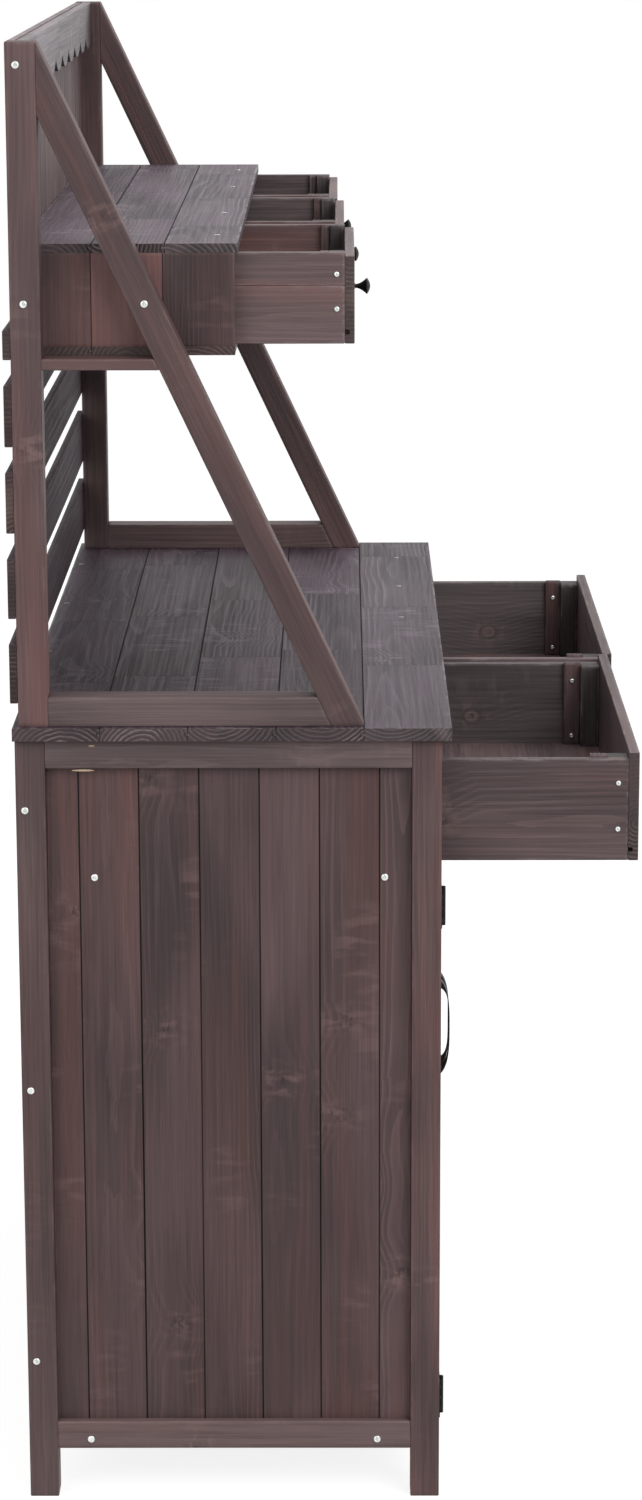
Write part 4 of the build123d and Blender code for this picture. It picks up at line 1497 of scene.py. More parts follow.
@dataclass
class Hutch:
    """Posts, braces, sills, bearers, slats, upper back and valance above the worktop."""

    lumber: float = 0.034
    sill: float = 0.034
    bearer: float = 0.0125
    bearer_width: float = 0.054
    slat: float = 0.069
    half_slat: float = 0.033
    slat_count: int = 4
    slat_bow: float = 0.5 * MM
    back_count: int = 16
    lobe_count: int = 10
    scallop: float = 0.0173
    lobe_steps: int = 18
    rebate: float = 1.8 * MM
    rebate_depth: float = 8.0 * MM
    valance_pith: float = 0.04
    # The valance is lifted paler and greyer than its stain: painted sheen.
    valance_sheen_tone: Triple = (0.5, -0.6, 0.5)
    brace_tones: Tones = ((0.1, 0.6), (-0.4, 0.3))
    post_tones: Tones = ((1.2, 1.6), (-1.1, 0.0))
    sill_tones: Tones = ((1.4, -0.6), (0.0, 0.0))
    bearer_tones: Tones = ((0.2, 0.4), (0.0, 0.0))
    back_tones: Tones = ((0.9, 0.2), (0.0, 0.5))
    slat_tones: Tones = ((0.0, 0.3), (0.3, 0.0), (0.4, 0.2), (-0.2, 0.4), (0.0, 0.0))

    def build(self, joiner: Joiner) -> None:
        """Build every piece of the hutch.

        Args:
            joiner: Makes the pieces of boards.
        """
        joiner.fit("hutch_posts", self.posts(), FRAME_STAIN)
        joiner.fit("hutch_braces", self.braces(), FRAME_STAIN)
        joiner.fit("hutch_rails", self.rails(), FRAME_STAIN)
        joiner.fit("back_slats", self.slats(), SLAT_STAIN)
        tones = tuple(self.back_tones[index % 2] for index in range(self.back_count))
        boards = MATCHING.upright("upper_back_boards", self.back_count, tones)
        joiner.fit("upper_back_boards", boards, BACK_STAIN_PAINTED_LIGHT_TOPS)
        install(self.valance(joiner.rng), "valance_grained", VALANCE_STAIN, BENCH, "valance")

    def posts(self) -> list[Board]:
        """Return the two posts.

        Returns:
            The left post, then the right one.
        """
        x, y, z = spans("hutch_posts")
        end = from_low(x, self.lumber)
        sides = zip((end, mirrored(end)), self.post_tones)
        return [bar(side, y, z, Run.HEIGHT, tone=tone) for side, tone in sides]

    def lean(self) -> float:
        """Return the angle between a brace and a post."""
        _, y, z = spans("hutch_braces")
        return atan2(size(y), size(z))

    def braces(self) -> list[Board]:
        """Return the two braces, sawn level at the foot and upright at the post.

        With u measured back from the front edge, the foot cut lies at w = u tan(lean) and the upper cut
        at w = (reach - u cos(lean)) / sin(lean).

        Returns:
            The left brace, then the right one.
        """
        x, y, z = spans("hutch_braces")
        lean = self.lean()
        foot = Cut(0.0, tan(lean))
        head = Cut(size(y) / sin(lean), -1 / tan(lean))
        corners = rectangle((0.0, self.lumber), (0.0, self.lumber))
        across = (0.0, cos(lean), -sin(lean))
        along = (0.0, sin(lean), cos(lean))
        places = [Placement((side, y[0], z[0]), across, along) for side in (x[0] + self.lumber, x[1])]
        sides = zip(places, self.brace_tones)
        return [Board(corners, place, foot, head, tone=tone) for place, tone in sides]

    def rails(self) -> list[Board]:
        """Return the sills and bearers, sawn to the brace's slope in front.

        Returns:
            The sills, then the bearers.
        """
        x, y, z = spans("hutch_rails")
        lean = self.lean()
        brace_y, brace_z = spans("hutch_braces")[1:]
        brace_back = self.lumber / cos(lean)
        post_front = spans("hutch_posts")[1][0]
        boards = []
        for height, width, tones in (
            (from_low(z, self.sill), self.lumber, self.sill_tones),
            (from_high(z, self.bearer), self.bearer_width, self.bearer_tones),
        ):
            start = brace_y[0] + brace_back + (height[0] - brace_z[0]) * tan(lean)
            for side, tone in zip((from_low(x, width), from_high(x, width)), tones):
                corners = rectangle((0.0, size(height)), (0.0, size(side)))
                place = Placement((side[0], 0.0, height[0]), UP, BACK)
                boards.append(Board(corners, place, Cut(start, tan(lean)), Cut(post_front), tone=tone))
        return boards

    def slats(self) -> list[Board]:
        """Return the open slats and the half slat above them.

        Returns:
            The slats, from the lowest.
        """
        x, y, z = spans("back_slats")
        lows = even(z[0], z[1] - self.half_slat, self.slat_count)
        heights = [(low, low + self.slat) for low in lows[:-1]] + [from_high(z, self.half_slat)]
        rows = zip(heights, self.slat_tones)
        return [bar(x, y, height, Run.WIDTH, bow=self.slat_bow, tone=tone) for height, tone in rows]

    def valance(self, rng: np.random.Generator) -> Surface:
        """Carry an eased outline along the width, with its lower edge on a row of round lobes.

        A lobe of chord c and rise h has radius R = (c^2/4 + h^2) / 2h, so at a distance d from its
        middle its edge lies R - sqrt(R^2 - d^2) above its lowest point. A rebate along the top leaves an
        open line in front of the upright boards; its sides count as seam and are painted near black, a
        painted shadow line in that gap.

        Args:
            rng: Source of the board's own wood.

        Returns:
            The closed surface.
        """
        x, y, z = spans("valance")
        chord = size(x) / self.lobe_count
        radius = (chord**2 / 4 + self.scallop**2) / (2 * self.scallop)
        places = np.linspace(x[0], x[1], self.lobe_count * self.lobe_steps + 1)
        away = np.abs((places - x[0]) % chord - chord / 2)
        away[-1] = chord / 2
        lower = z[0] + radius - np.sqrt(radius**2 - away**2)
        nominal = size(z)
        ledge = nominal - self.rebate_depth
        inner = y[1] - self.rebate
        corners = [(y[0], 0.0), (y[1], 0.0), (y[1], ledge)]
        corners += [(inner, ledge), (inner, nominal), (y[0], nominal)]
        # The rebate's sides count as seam, so the gap is painted near black: painted shade.
        dirt_and_shade = (False, True, True, True, False, False)
        outline, arris = eased_outline(np.array(corners), EDGE, dirt_and_shade)
        low_half = outline[:, 1] < nominal / 2
        height = np.where(low_half, outline[:, 1] + lower[:, None], outline[:, 1] - nominal + z[1])
        depth = np.repeat(outline[None, :, 0], len(places), axis=0)
        width = np.repeat(places[:, None], len(outline), axis=1)
        points = np.stack([width, depth, height], axis=-1).reshape(-1, 3)
        middle = np.array([0.0, sum(y) / 2 - self.valance_pith, sum(z) / 2])
        grain = (points - middle)[:, [0, 2, 1]] + np.array([rng.uniform(0, LOG_LENGTH), 0.0, 0.0])
        tone = np.tile(self.valance_sheen_tone, (len(points), 1))
        faces, ends = tube_faces(len(places), len(outline))
        return Surface(points, faces, grain, tone, np.zeros_like(points), np.tile(arris, len(places)), ends)


@dataclass
class ShelfBox:
    """The box on the hutch that holds the small drawers."""

    side: float = 0.010
    board_count: int = 3
    divider: float = 0.010
    end_tones: Tones = ((-1.5, 0.4), (1.7, 1.6), (-0.2, 0.6))
    # The shelf top's boards, listed from the front, grow paler and greyer towards the front: painted sheen.
    top_sheen_tones: Tones = ((1.0, -0.6), (0.5, -0.2), (0.3, 0.0))

    def build(self, joiner: Joiner) -> None:
        """Build the bottom, top, ends and dividers.

        Args:
            joiner: Makes the pieces of boards.
        """
        bottom = MATCHING.level("shelf_bottom", self.board_count)
        joiner.fit("shelf_bottom", [replace(board, bow=SLIDING_BOW) for board in bottom], PANEL_STAIN)
        top = MATCHING.level("shelf_top", self.board_count, self.top_sheen_tones)
        joiner.fit("shelf_top", top, WORKTOP_STAIN_AND_EDGE_HIGHLIGHT)
        edges = even(*spans("shelf_ends")[1], self.board_count)
        ends = CLOSE_MATCHING.ends("shelf_ends", edges, self.side, self.end_tones)
        joiner.fit("shelf_ends", ends, PANEL_STAIN)
        x, y, z = spans("shelf_dividers")
        places = (from_low(x, self.divider), from_high(x, self.divider))
        joiner.fit("shelf_dividers", [bar(place, y, z, Run.DEPTH) for place in places], PANEL_STAIN)


@dataclass(frozen=True)
class DrawerSizes:
    """What the drawers of one kind share; the glue line is the share of a side below its joint."""

    board: float
    front_cleat: float
    cleat_width: float
    side_cleat: float
    cleat_rise: float
    screw_heights: Span
    cleat_screw_heights: Span
    glue_line: float
    cleat_thickness: float = 0.008
    groove_rise: float = 0.011
    groove_depth: float = 0.005
    groove_height: float = 0.0043


LARGE = DrawerSizes(
    board=0.012,
    front_cleat=0.024,
    cleat_width=0.020,
    side_cleat=0.021,
    cleat_rise=0.003,
    screw_heights=(0.0375, 0.092),
    cleat_screw_heights=(0.027, 0.099),
    glue_line=1.0,
)
SMALL = DrawerSizes(
    board=0.011,
    front_cleat=0.018,
    cleat_width=0.014,
    side_cleat=0.010,
    cleat_rise=0.0005,
    screw_heights=(0.039, 0.078),
    cleat_screw_heights=(0.030, 0.060),
    glue_line=0.64,
)


@dataclass
class Drawer:
    """One drawer, drawn where it stands pulled out."""

    name: str
    sizes: DrawerSizes
    tone: Tone
    # Each drawer front is a touch paler and greyer: a faint painted sheen.
    front_sheen_tone: Tone = (0.2, -0.2)
    far_tone: Tone = (-0.1, -1.1)
    bottom_tone: Tone = (0.1, 0.8)
    strip_tone: Tone = (-0.7, 0.5)
    strip_edge: float = 0.6 * MM
    cleat_tones: Tones = ((-1.9, -1.0), (-0.6, 0.6))
    far_knot: Triple = NO_KNOT

    def build(self, joiner: Joiner) -> None:
        """Build the front, box, bottom, knob and screws.

        Args:
            joiner: Makes the pieces of boards.
        """
        front, box, bottom, knob, screws = (
            f"{self.name}_{part}" for part in ("front", "box", "bottom", "knob", "screws")
        )
        joiner.fit(front, [self.front()], DRAWER_STAIN, self.name)
        joiner.fit(box, self.box(), DRAWER_STAIN, self.name)
        panel = bar(*spans(bottom), Run.WIDTH, arris=FINE_EDGE, tone=self.bottom_tone)
        joiner.fit(bottom, [panel], DRAWER_STAIN, self.name)
        install(Knob().surface(spans(knob)), f"{knob}_turned", BLACK_COAT, self.name, knob)
        install(DRAWER_SCREW.row(self.screw_places()), f"{screws}_crossed", ZINC_PLATE, self.name, screws)

    def front(self) -> Board:
        """Return the front board, with the bottom's groove open at both ends.

        Returns:
            The board.
        """
        x, y, z = spans(f"{self.name}_front")
        low = z[0] + self.sizes.groove_rise
        high = low + self.sizes.groove_height
        root = y[1] - self.sizes.groove_depth
        corners = [(y[0], z[0]), (y[1], z[0]), (y[1], low), (root, low), (root, high), (y[1], high)]
        corners += [(y[1], z[1]), (y[0], z[1])]
        dirt_and_shade = (False, False, True, True, True, False, False, False)
        place = Placement(across=BACK, along=RIGHT)
        ends = (Cut(x[0]), Cut(x[1]))
        return Board(np.array(corners), place, *ends, dirt_and_shade=dirt_and_shade, tone=self.front_sheen_tone, bow=SLIDING_BOW)

    def box(self) -> list[Board]:
        """Return the back, sides and corner cleats.

        Returns:
            The boards.
        """
        sizes = self.sizes
        x, y, z = spans(f"{self.name}_box")
        sides_z = (z[0], z[1] - sizes.cleat_rise)
        cleat_low = z[0] + sizes.groove_rise + sizes.groove_height
        front_cleat_y = from_low(y, sizes.front_cleat)
        side_cleat_y = (front_cleat_y[1], front_cleat_y[1] + sizes.side_cleat)
        back_x = (x[0] + sizes.board, x[1] - sizes.board)
        boards = [bar(back_x, from_high(y, sizes.board), sides_z, Run.WIDTH, bow=SLIDING_BOW)]
        tones = (self.tone, self.far_tone)
        for outer, inward, tone, knot in zip(x, (1, -1), tones, (NO_KNOT, self.far_knot)):
            inner = outer + inward * sizes.board
            front_cleat_x = ordered(inner, inner + inward * sizes.cleat_width)
            side_cleat_x = ordered(inner, inner + inward * sizes.cleat_thickness)
            boards += self.side(ordered(outer, inner), y, sides_z, tone, knot)
            cleats = ((front_cleat_x, front_cleat_y, sides_z[1]), (side_cleat_x, side_cleat_y, z[1]))
            boards += [
                bar(wide, deep, (cleat_low, high), Run.HEIGHT, tone=cleat_tone)
                for (wide, deep, high), cleat_tone in zip(cleats, self.cleat_tones)
            ]
        return boards

    def side(self, x: Span, y: Span, z: Span, tone: Tone, knot: Triple) -> list[Board]:
        """Return one side, of two strips where it is glued up along its length.

        Args:
            x: Its range along X.
            y: Its range along Y.
            z: Its range along Z.
            tone: Value and redness.
            knot: Its knot, placed from the drawer's front and base.

        Returns:
            The boards, the lower one first.
        """
        line = z[0] + self.sizes.glue_line * size(z)
        own_knot = (y[0] + knot[0], z[0] + knot[1], knot[2])
        lower = bar(x, y, (z[0], line), Run.DEPTH, tone=tone, knot=own_knot, bow=SLIDING_BOW)
        if self.sizes.glue_line >= 1.0:
            return [lower]
        strip = (tone[0] + self.strip_tone[0], tone[1] + self.strip_tone[1])
        upper = bar(x, y, (line, z[1]), Run.DEPTH, tone=strip, arris=self.strip_edge, bow=SLIDING_BOW)
        return [lower, upper]

    def screw_places(self) -> list[tuple[Triple, Triple]]:
        """Return where each screw head sits, and which way it faces.

        Returns:
            The heads' places and facings.
        """
        sizes = self.sizes
        x, y, z = spans(f"{self.name}_box")
        side_y = y[0] + sizes.front_cleat / 2
        cleat_y = y[0] + sizes.front_cleat + sizes.side_cleat / 2
        places = []
        for outer, inward in zip(x, (1, -1)):
            cleat_face = outer + inward * (sizes.board + sizes.cleat_thickness)
            rows = (
                (outer, side_y, -inward, sizes.screw_heights),
                (cleat_face, cleat_y, inward, sizes.cleat_screw_heights),
            )
            for face, deep, way, ups in rows:
                places += [((face, deep, z[0] + up), (way, 0, 0)) for up in ups]
        return places


def facing_axes(outward: Triple) -> Floats:
    """Return two axes across a facing direction and the direction itself, one per row, right-handed.

    Args:
        outward: The facing direction, of unit length.

    Returns:
        The three axes.
    """
    out = np.array(outward, float)
    side = np.cross(UP, out)
    if np.linalg.norm(side) < TINY:
        side = np.array(RIGHT)
    side /= np.linalg.norm(side)
    return np.stack([side, np.cross(out, side), out])


def turned(radii: Floats, heights: Floats, origin: Triple, outward: Triple, around: int) -> Surface:
    """Turn a profile round an axis, with a pole at each end.

    Point (i, j) lies at radius r_i and angle 2 pi j / around, at height h_i along the axis.

    Args:
        radii: The profile's radii; its first and last points are poles on the axis.
        heights: Their heights along the axis.
        origin: Where the axis starts.
        outward: Its direction.
        around: Points in each ring.

    Returns:
        The closed surface.
    """
    angle = np.linspace(0, 2 * pi, around, endpoint=False)
    inner_r = radii[1:-1, None]
    inner_h = np.repeat(heights[1:-1, None], around, axis=1)
    rings = np.stack([inner_r * np.cos(angle), inner_r * np.sin(angle), inner_h], axis=-1).reshape(-1, 3)
    poles = np.array([[0, 0, heights[0]], [0, 0, heights[-1]]])
    points = np.array(origin) + np.concatenate([rings, poles]) @ facing_axes(outward)
    return Surface.plain(points, turned_faces(len(radii) - 2, around))


def turned_faces(rings: int, around: int) -> Faces:
    """Return the quads between rings and the fans at the two poles that follow them.

    Args:
        rings: How many rings there are.
        around: How many points each ring has.

    Returns:
        The quads and triangles.
    """
    first = np.arange(around)
    after = (first + 1) % around
    last = (rings - 1) * around
    low_pole = np.full(around, rings * around)
    fan = np.stack([low_pole, after, first], axis=1).tolist()
    top = np.stack([low_pole + 1, last + first, last + after], axis=1).tolist()
    return ring_faces(rings, around) + fan + top


@dataclass(frozen=True)
class Knob:
    """A trumpet knob: a collar, a straight neck, a hollow flare, a rim and a low dome."""

    stem: float = 2.4 * MM
    collar: float = 3.6 * MM
    collar_heights: Span = (0.7 * MM, 1.4 * MM)
    waist: float = 3.45 * MM
    waist_height: float = 8.6 * MM
    neck: float = 3.0 * MM
    rim: float = 1.5 * MM
    rim_foot: float = 0.5 * MM
    ease: float = 0.6 * MM
    dome: float = 3.0 * MM
    flare_steps: int = 14
    ease_steps: int = 4
    dome_steps: int = 6
    around: int = 40

    def surface(self, box: tuple[Span, Span, Span]) -> Surface:
        """Turn the knob inside a CAD box.

        The flare is the quadratic curve (1-t)^2 P0 + 2t(1-t) P1 + t^2 P2, which leaves the neck's end P0
        towards a waist point P1 and comes from there to the rim P2. The rim's outer corner is a quarter
        round, and the dome is a parabola.

        Args:
            box: The knob's ranges along X, Y and Z.

        Returns:
            The closed surface.
        """
        x, y, z = box
        head = size(x) / 2
        flare_end = size(y) - self.dome - self.rim
        rim_end = flare_end + self.rim
        t = np.linspace(0, 1, self.flare_steps)
        flare_r = (1 - t) ** 2 * self.stem + 2 * t * (1 - t) * self.waist + t**2 * head
        flare_h = (1 - t) ** 2 * self.neck + 2 * t * (1 - t) * self.waist_height + t**2 * flare_end
        turn = np.linspace(0, pi / 2, self.ease_steps + 1)[1:]
        rim_r = head - self.ease + self.ease * np.cos(turn)
        rim_h = rim_end - self.ease + self.ease * np.sin(turn)
        s = np.linspace(1, 0, self.dome_steps + 1)[1:]
        dome_r = (head - self.ease) * s
        dome_h = rim_end + self.dome * (1 - s**2)
        foot_r = [0, self.collar, self.collar, self.stem]
        foot_h = [0, 0, *self.collar_heights]
        radii = np.concatenate([foot_r, flare_r, [head], rim_r, dome_r])
        heights = np.concatenate([foot_h, flare_h, [flare_end + self.rim_foot], rim_h, dome_h])
        return turned(radii, heights, (sum(x) / 2, y[1], sum(z) / 2), FRONT, self.around)


@dataclass(frozen=True)
class Screw:
    """A pan-head screw with a cross recess; its shank stays in the wood."""

    radius: float = 4.3 * MM
    height: float = 2.2 * MM
    wall_share: float = 0.35
    arm: float = 2.3 * MM
    arm_fade: float = 0.3 * MM
    slot: float = 0.55 * MM
    slot_reach: float = 1.5
    slot_fade: float = 0.6
    depth: float = 1.0 * MM
    around: int = 32
    sink: float = 0.6 * MM
    shares: tuple[float, ...] = (1.0, 0.97, 0.9, 0.8, 0.68, 0.56, 0.45, 0.35, 0.25, 0.15, 0.07)

    def surface(self, origin: Triple, outward: Triple) -> Surface:
        """Turn one head and press the cross into it.

        The head's height is h (1 - (r/R)^4)^(1/2) plus its straight wall, less the recess depth times a
        soft cross: the larger of two products of steps in x and y.

        Args:
            origin: Where the head's seat lies.
            outward: The way the head faces.

        Returns:
            The closed surface.
        """
        shares = np.array(self.shares)
        radii = np.concatenate([[0, self.radius, self.radius], self.radius * shares[1:], [0]])
        wall = self.wall_share * self.height
        crown = wall + (self.height - wall) * np.sqrt(1 - shares**4)
        heights = np.concatenate([[-self.sink, -self.sink, wall], crown[1:], [self.height - self.depth]])
        surface = turned(radii, heights, ORIGIN, UP, self.around)
        x, y, z = surface.points.T
        pressed = np.maximum(self.bar_mask(np.abs(x), np.abs(y)), self.bar_mask(np.abs(y), np.abs(x)))
        on_axis = (np.abs(x) + np.abs(y)) < TINY
        low = np.where((z > wall) & ~on_axis, z - self.depth * pressed, z)
        local = np.stack([x, y, low], axis=1)
        return Surface.plain(np.array(origin) + local @ facing_axes(outward), surface.faces)

    def bar_mask(self, along: Floats, across: Floats) -> Floats:
        """Return 1 inside one arm of the cross and 0 outside, with soft sides."""
        in_width = np.clip((self.slot * self.slot_reach - across) / (self.slot * self.slot_fade), 0, 1)
        return in_width * np.clip((self.arm - along) / self.arm_fade, 0, 1)

    def row(self, places: list[tuple[Triple, Triple]]) -> Surface:
        """Return heads at places and facings, as one surface."""
        return Surface.joined([self.surface(*place) for place in places])


SCREW = Screw()
DRAWER_SCREW = Screw(radius=3.1 * MM, arm=1.7 * MM, slot=0.42 * MM, depth=0.8 * MM)
HINGE_SCREW = Screw(
    radius=2.1 * MM, height=0.7 * MM, arm=1.2 * MM, slot=0.3 * MM, depth=0.4 * MM, around=20
)


@dataclass
class FrameScrews:
    """The zinc screws that show on both ends of the bench."""

    leg_inset: float = 0.0105
    panel_front_inset: float = 0.031
    panel_back_inset: float = 0.054
    panel_height: float = 0.7615
    rail_inset: float = 0.0395
    rail_height: float = 0.073
    post_depth: float = 0.0185
    top_depth: float = 0.022
    top_drop: float = 0.025
    shelf_height: float = 1.4225

    def build(self) -> None:
        """Build one piece that holds all the heads."""
        places = [spot for left in self.left_places() for spot in self.both(left)]
        install(SCREW.row(places), "frame_screws_crossed", ZINC_PLATE, BENCH, "frame_screws")

    def both(self, spot: Triple) -> list[tuple[Triple, Triple]]:
        """Return a place on the left end and its twin on the right, with their facings."""
        x, y, z = spot
        return [((x, y, z), LEFT), ((-x, y, z), RIGHT)]

    def left_places(self) -> list[Triple]:
        """Return the heads' places on the left end.

        Returns:
            The places.
        """
        leg_x, leg_y, _ = spans("leg_back_left")
        board_x, board_y, _ = spans("side_boards")
        rail_x = spans("side_rails")[0]
        post_x, post_y, post_z = spans("hutch_posts")
        batten_z = spans("back_battens")[2]
        half = Cabinet().batten_height / 2
        batten_middles = (batten_z[0] + half, sum(batten_z) / 2, batten_z[1] - half)
        places = [(leg_x[0], leg_y[1] - self.leg_inset, height) for height in batten_middles]
        panel_y = (board_y[0] + self.panel_front_inset, board_y[1] - self.panel_back_inset)
        places += [(board_x[0], y, self.panel_height) for y in panel_y]
        rail_y = (board_y[0] + self.rail_inset, board_y[1] - self.rail_inset)
        places += [(rail_x[0], y, self.rail_height) for y in rail_y]
        places.append((post_x[0], post_y[0] + self.top_depth, post_z[1] - self.top_drop))
        places.append((post_x[0], post_y[0] + self.post_depth, self.shelf_height))
        return places + [(post_x[0], self.brace_middle(), self.shelf_height)]

    def brace_middle(self) -> float:
        """Return the depth of a brace's middle line at the shelf screws' height.

        Returns:
            The depth.
        """
        hutch = Hutch()
        lean = hutch.lean()
        _, y, z = spans("hutch_braces")
        front = y[0] + (self.shelf_height - z[0]) * tan(lean)
        return front + hutch.lumber / cos(lean) / 2


@dataclass
class Door:
    """One boarded door with its ledges and bow handle."""

    name: str
    board_count: int = 8
    ledge: float = 0.060
    bow_squareness: float = 3.0
    gap_half: float = 55.5 * MM
    gap_reach: float = 25.4 * MM
    gap_squareness: float = 4.1
    bow_steps: int = 64
    strap_edge: float = 0.5 * MM

    def build(self, joiner: Joiner) -> None:
        """Build the door's pieces.

        Args:
            joiner: Makes the pieces of boards.
        """
        boards, ledges, handle = (f"{self.name}_{part}" for part in ("boards", "ledges", "handle"))
        joiner.fit(boards, MATCHING.upright(boards, self.board_count), PANEL_STAIN, self.name)
        joiner.fit(ledges, three_levels(ledges, self.ledge), FRAME_STAIN, self.name)
        install(self.handle(), f"{handle}_bow", BLACK_COAT, self.name, handle)

    def handle(self) -> Surface:
        """Carry an eased strap over a bow that stands on the door.

        A bow of half length A, reach B and squareness n runs through (A c^(2/n), B s^(2/n)), where c and
        s are the cosine and sine of an angle that goes half round. The strap fills the room between an
        outer bow and an inner one, so it is thick at the feet and thin where it is pulled.

        Returns:
            The closed surface, with flat feet on the door's face.
        """
        x, y, z = spans(f"{self.name}_handle")
        inner = self.bow(self.gap_half, self.gap_reach, self.gap_squareness)
        outer = self.bow(size(z) / 2, size(y), self.bow_squareness)
        thin = outer[:, 1].max() - self.gap_reach
        section, _ = eased_outline(rectangle((0.0, thin), x), self.strap_edge, ())
        share = section[:, :1] / thin
        bows = inner[:, None] + (outer - inner)[:, None] * share
        height = sum(z) / 2 + bows[..., 0]
        depth = y[1] - bows[..., 1]
        width = np.repeat(section[None, :, 1], self.bow_steps, axis=0)
        points = np.stack([width, depth, height], axis=-1).reshape(-1, 3)
        faces, _ = tube_faces(self.bow_steps, len(section))
        return Surface.plain(points, [face[::-1] for face in faces])

    def bow(self, half: float, reach: float, squareness: float) -> Floats:
        """Return the points of one bow, from its upper foot to its lower one.

        Args:
            half: Half of its length.
            reach: How far it stands out.
            squareness: Its power, 2 for an ellipse.

        Returns:
            The points, along and out.
        """
        angle = np.linspace(0, pi, self.bow_steps)
        power = 2 / squareness
        along = half * np.sign(np.cos(angle)) * np.abs(np.cos(angle)) ** power
        return np.stack([along, reach * np.abs(np.sin(angle)) ** power], axis=1)


@dataclass
class Hinges:
    """The black butt hinges: leaves on legs and doors, barrels and pins."""

    inset: float = 27.5 * MM
    barrel: float = 15.0 * MM
    gap: float = 0.35 * MM
    radius: float = 2.75 * MM
    bore: float = 1.55 * MM
    plate: float = 1.5 * MM
    running: float = 0.3 * MM
    width: float = 17.0 * MM
    screw_rows: tuple[float, ...] = (0.2, 0.5, 0.8)
    edge: float = 0.4 * MM
    tab_edge: float = 0.2 * MM
    pin_clearance: float = 0.05 * MM
    pin_head: float = 0.8 * MM
    pin_edge: float = 0.3 * MM
    around: int = 28
    seed: int = 1

    def build(self) -> None:
        """Build the door leaves, frame leaves and pins."""
        for sign, door in ((-1, "door_left"), (1, "door_right")):
            node = f"{door}_hinge_leaves"
            leaves = [self.leaf(sign, low, (1,), -sign) for low in self.bottoms()]
            install(Surface.joined(leaves), f"{node}_rolled", BLACK_COAT, door, node)
        places = [(sign, low) for sign in (-1, 1) for low in self.bottoms()]
        fixed = Surface.joined([self.leaf(sign, low, (0, 2), sign) for sign, low in places])
        install(fixed, "hinge_frame_leaves_rolled", BLACK_COAT, BENCH, "hinge_frame_leaves")
        pins = Surface.joined([self.pin(sign, low) for sign, low in places])
        install(pins, "hinge_pins_headed", BLACK_COAT, BENCH, "hinge_pins")

    def height(self) -> float:
        """Return a hinge's overall height."""
        return 3 * self.barrel + 2 * self.gap

    def bottoms(self) -> Span:
        """Return the heights of the lower ends of the hinges."""
        z = spans("door_left_boards")[2]
        return (z[0] + self.inset, z[1] - self.inset - self.height())

    def axis(self, sign: int) -> tuple[float, float]:
        """Return the pin's place across and in depth, on the left (-1) or right (1).

        Args:
            sign: Left (-1) or right (1) end of the bench.

        Returns:
            The two places.
        """
        leg_x, leg_y, _ = spans("leg_front_right")
        door_x = spans("door_right_boards")[0]
        return sign * (leg_x[0] + door_x[1]) / 2, leg_y[0] - self.running - self.radius

    def leaf(self, sign: int, low: float, steps: tuple[int, ...], side: int) -> Surface:
        """Make one leaf: a flat plate with three screw heads, and its own barrels.

        Args:
            sign: Left (-1) or right (1) end of the bench.
            low: Lower end of the hinge.
            steps: Which barrels belong to this leaf, counted from below.
            side: Which side of the pin the plate lies on.

        Returns:
            The leaf's surface.
        """
        x, y = self.axis(sign)
        face = spans("leg_front_left")[1][0]
        clear = self.radius + self.running
        plate_x = ordered(x + side * clear, x + side * self.width)
        plate_y = (face - self.plate, face)
        tab_x = ordered(x + side * self.bore, x + side * clear)
        rng = np.random.default_rng(self.seed)
        flat = bar(plate_x, plate_y, (low, low + self.height()), Run.HEIGHT, arris=self.edge, bow=0.0)
        heights = [low + share * self.height() for share in self.screw_rows]
        screws = HINGE_SCREW.row([((sum(plate_x) / 2, plate_y[0], height), FRONT) for height in heights])
        parts = [board_surface(flat, rng), screws]
        for step in steps:
            bottom = low + step * (self.barrel + self.gap)
            parts.append(self.roll(x, y, bottom))
            tab_z = (bottom, bottom + self.barrel)
            tab = bar(tab_x, plate_y, tab_z, Run.HEIGHT, arris=self.tab_edge, bow=0.0)
            parts.append(board_surface(tab, rng))
        return Surface.joined(parts)

    def roll(self, x: float, y: float, bottom: float) -> Surface:
        """Turn one barrel with eased ends round the pin's axis, as a closed ring of section.

        Args:
            x: The axis across.
            y: The axis in depth.
            bottom: The barrel's lower end.

        Returns:
            The closed surface.
        """
        wall = rectangle((self.bore, self.radius), (0.0, self.barrel))
        section, _ = eased_outline(wall, self.edge, ())
        angle = np.linspace(0, 2 * pi, self.around, endpoint=False)[:, None]
        radius = section[None, :, 0]
        across = x + radius * np.cos(angle)
        depth = y + radius * np.sin(angle)
        height = bottom + np.repeat(section[None, :, 1], self.around, axis=0)
        points = np.stack([across, depth, height], axis=-1).reshape(-1, 3)
        faces = ring_faces(self.around, len(section), closed=True)
        return Surface.plain(points, [face[::-1] for face in faces])

    def pin(self, sign: int, low: float) -> Surface:
        """Turn one pin with its flat head on the top barrel.

        Args:
            sign: Left (-1) or right (1) end of the bench.
            low: Lower end of the hinge.

        Returns:
            The closed surface.
        """
        x, y = self.axis(sign)
        thin = self.bore - self.pin_clearance
        neck = self.height()
        top = neck + self.pin_head
        radii = np.array([0, thin, thin, self.radius, self.radius, self.radius - self.pin_edge, 0])
        heights = np.array([0, 0, neck, neck, top - self.pin_edge, top, top])
        return turned(radii, heights, (x, y, low), UP, self.around)


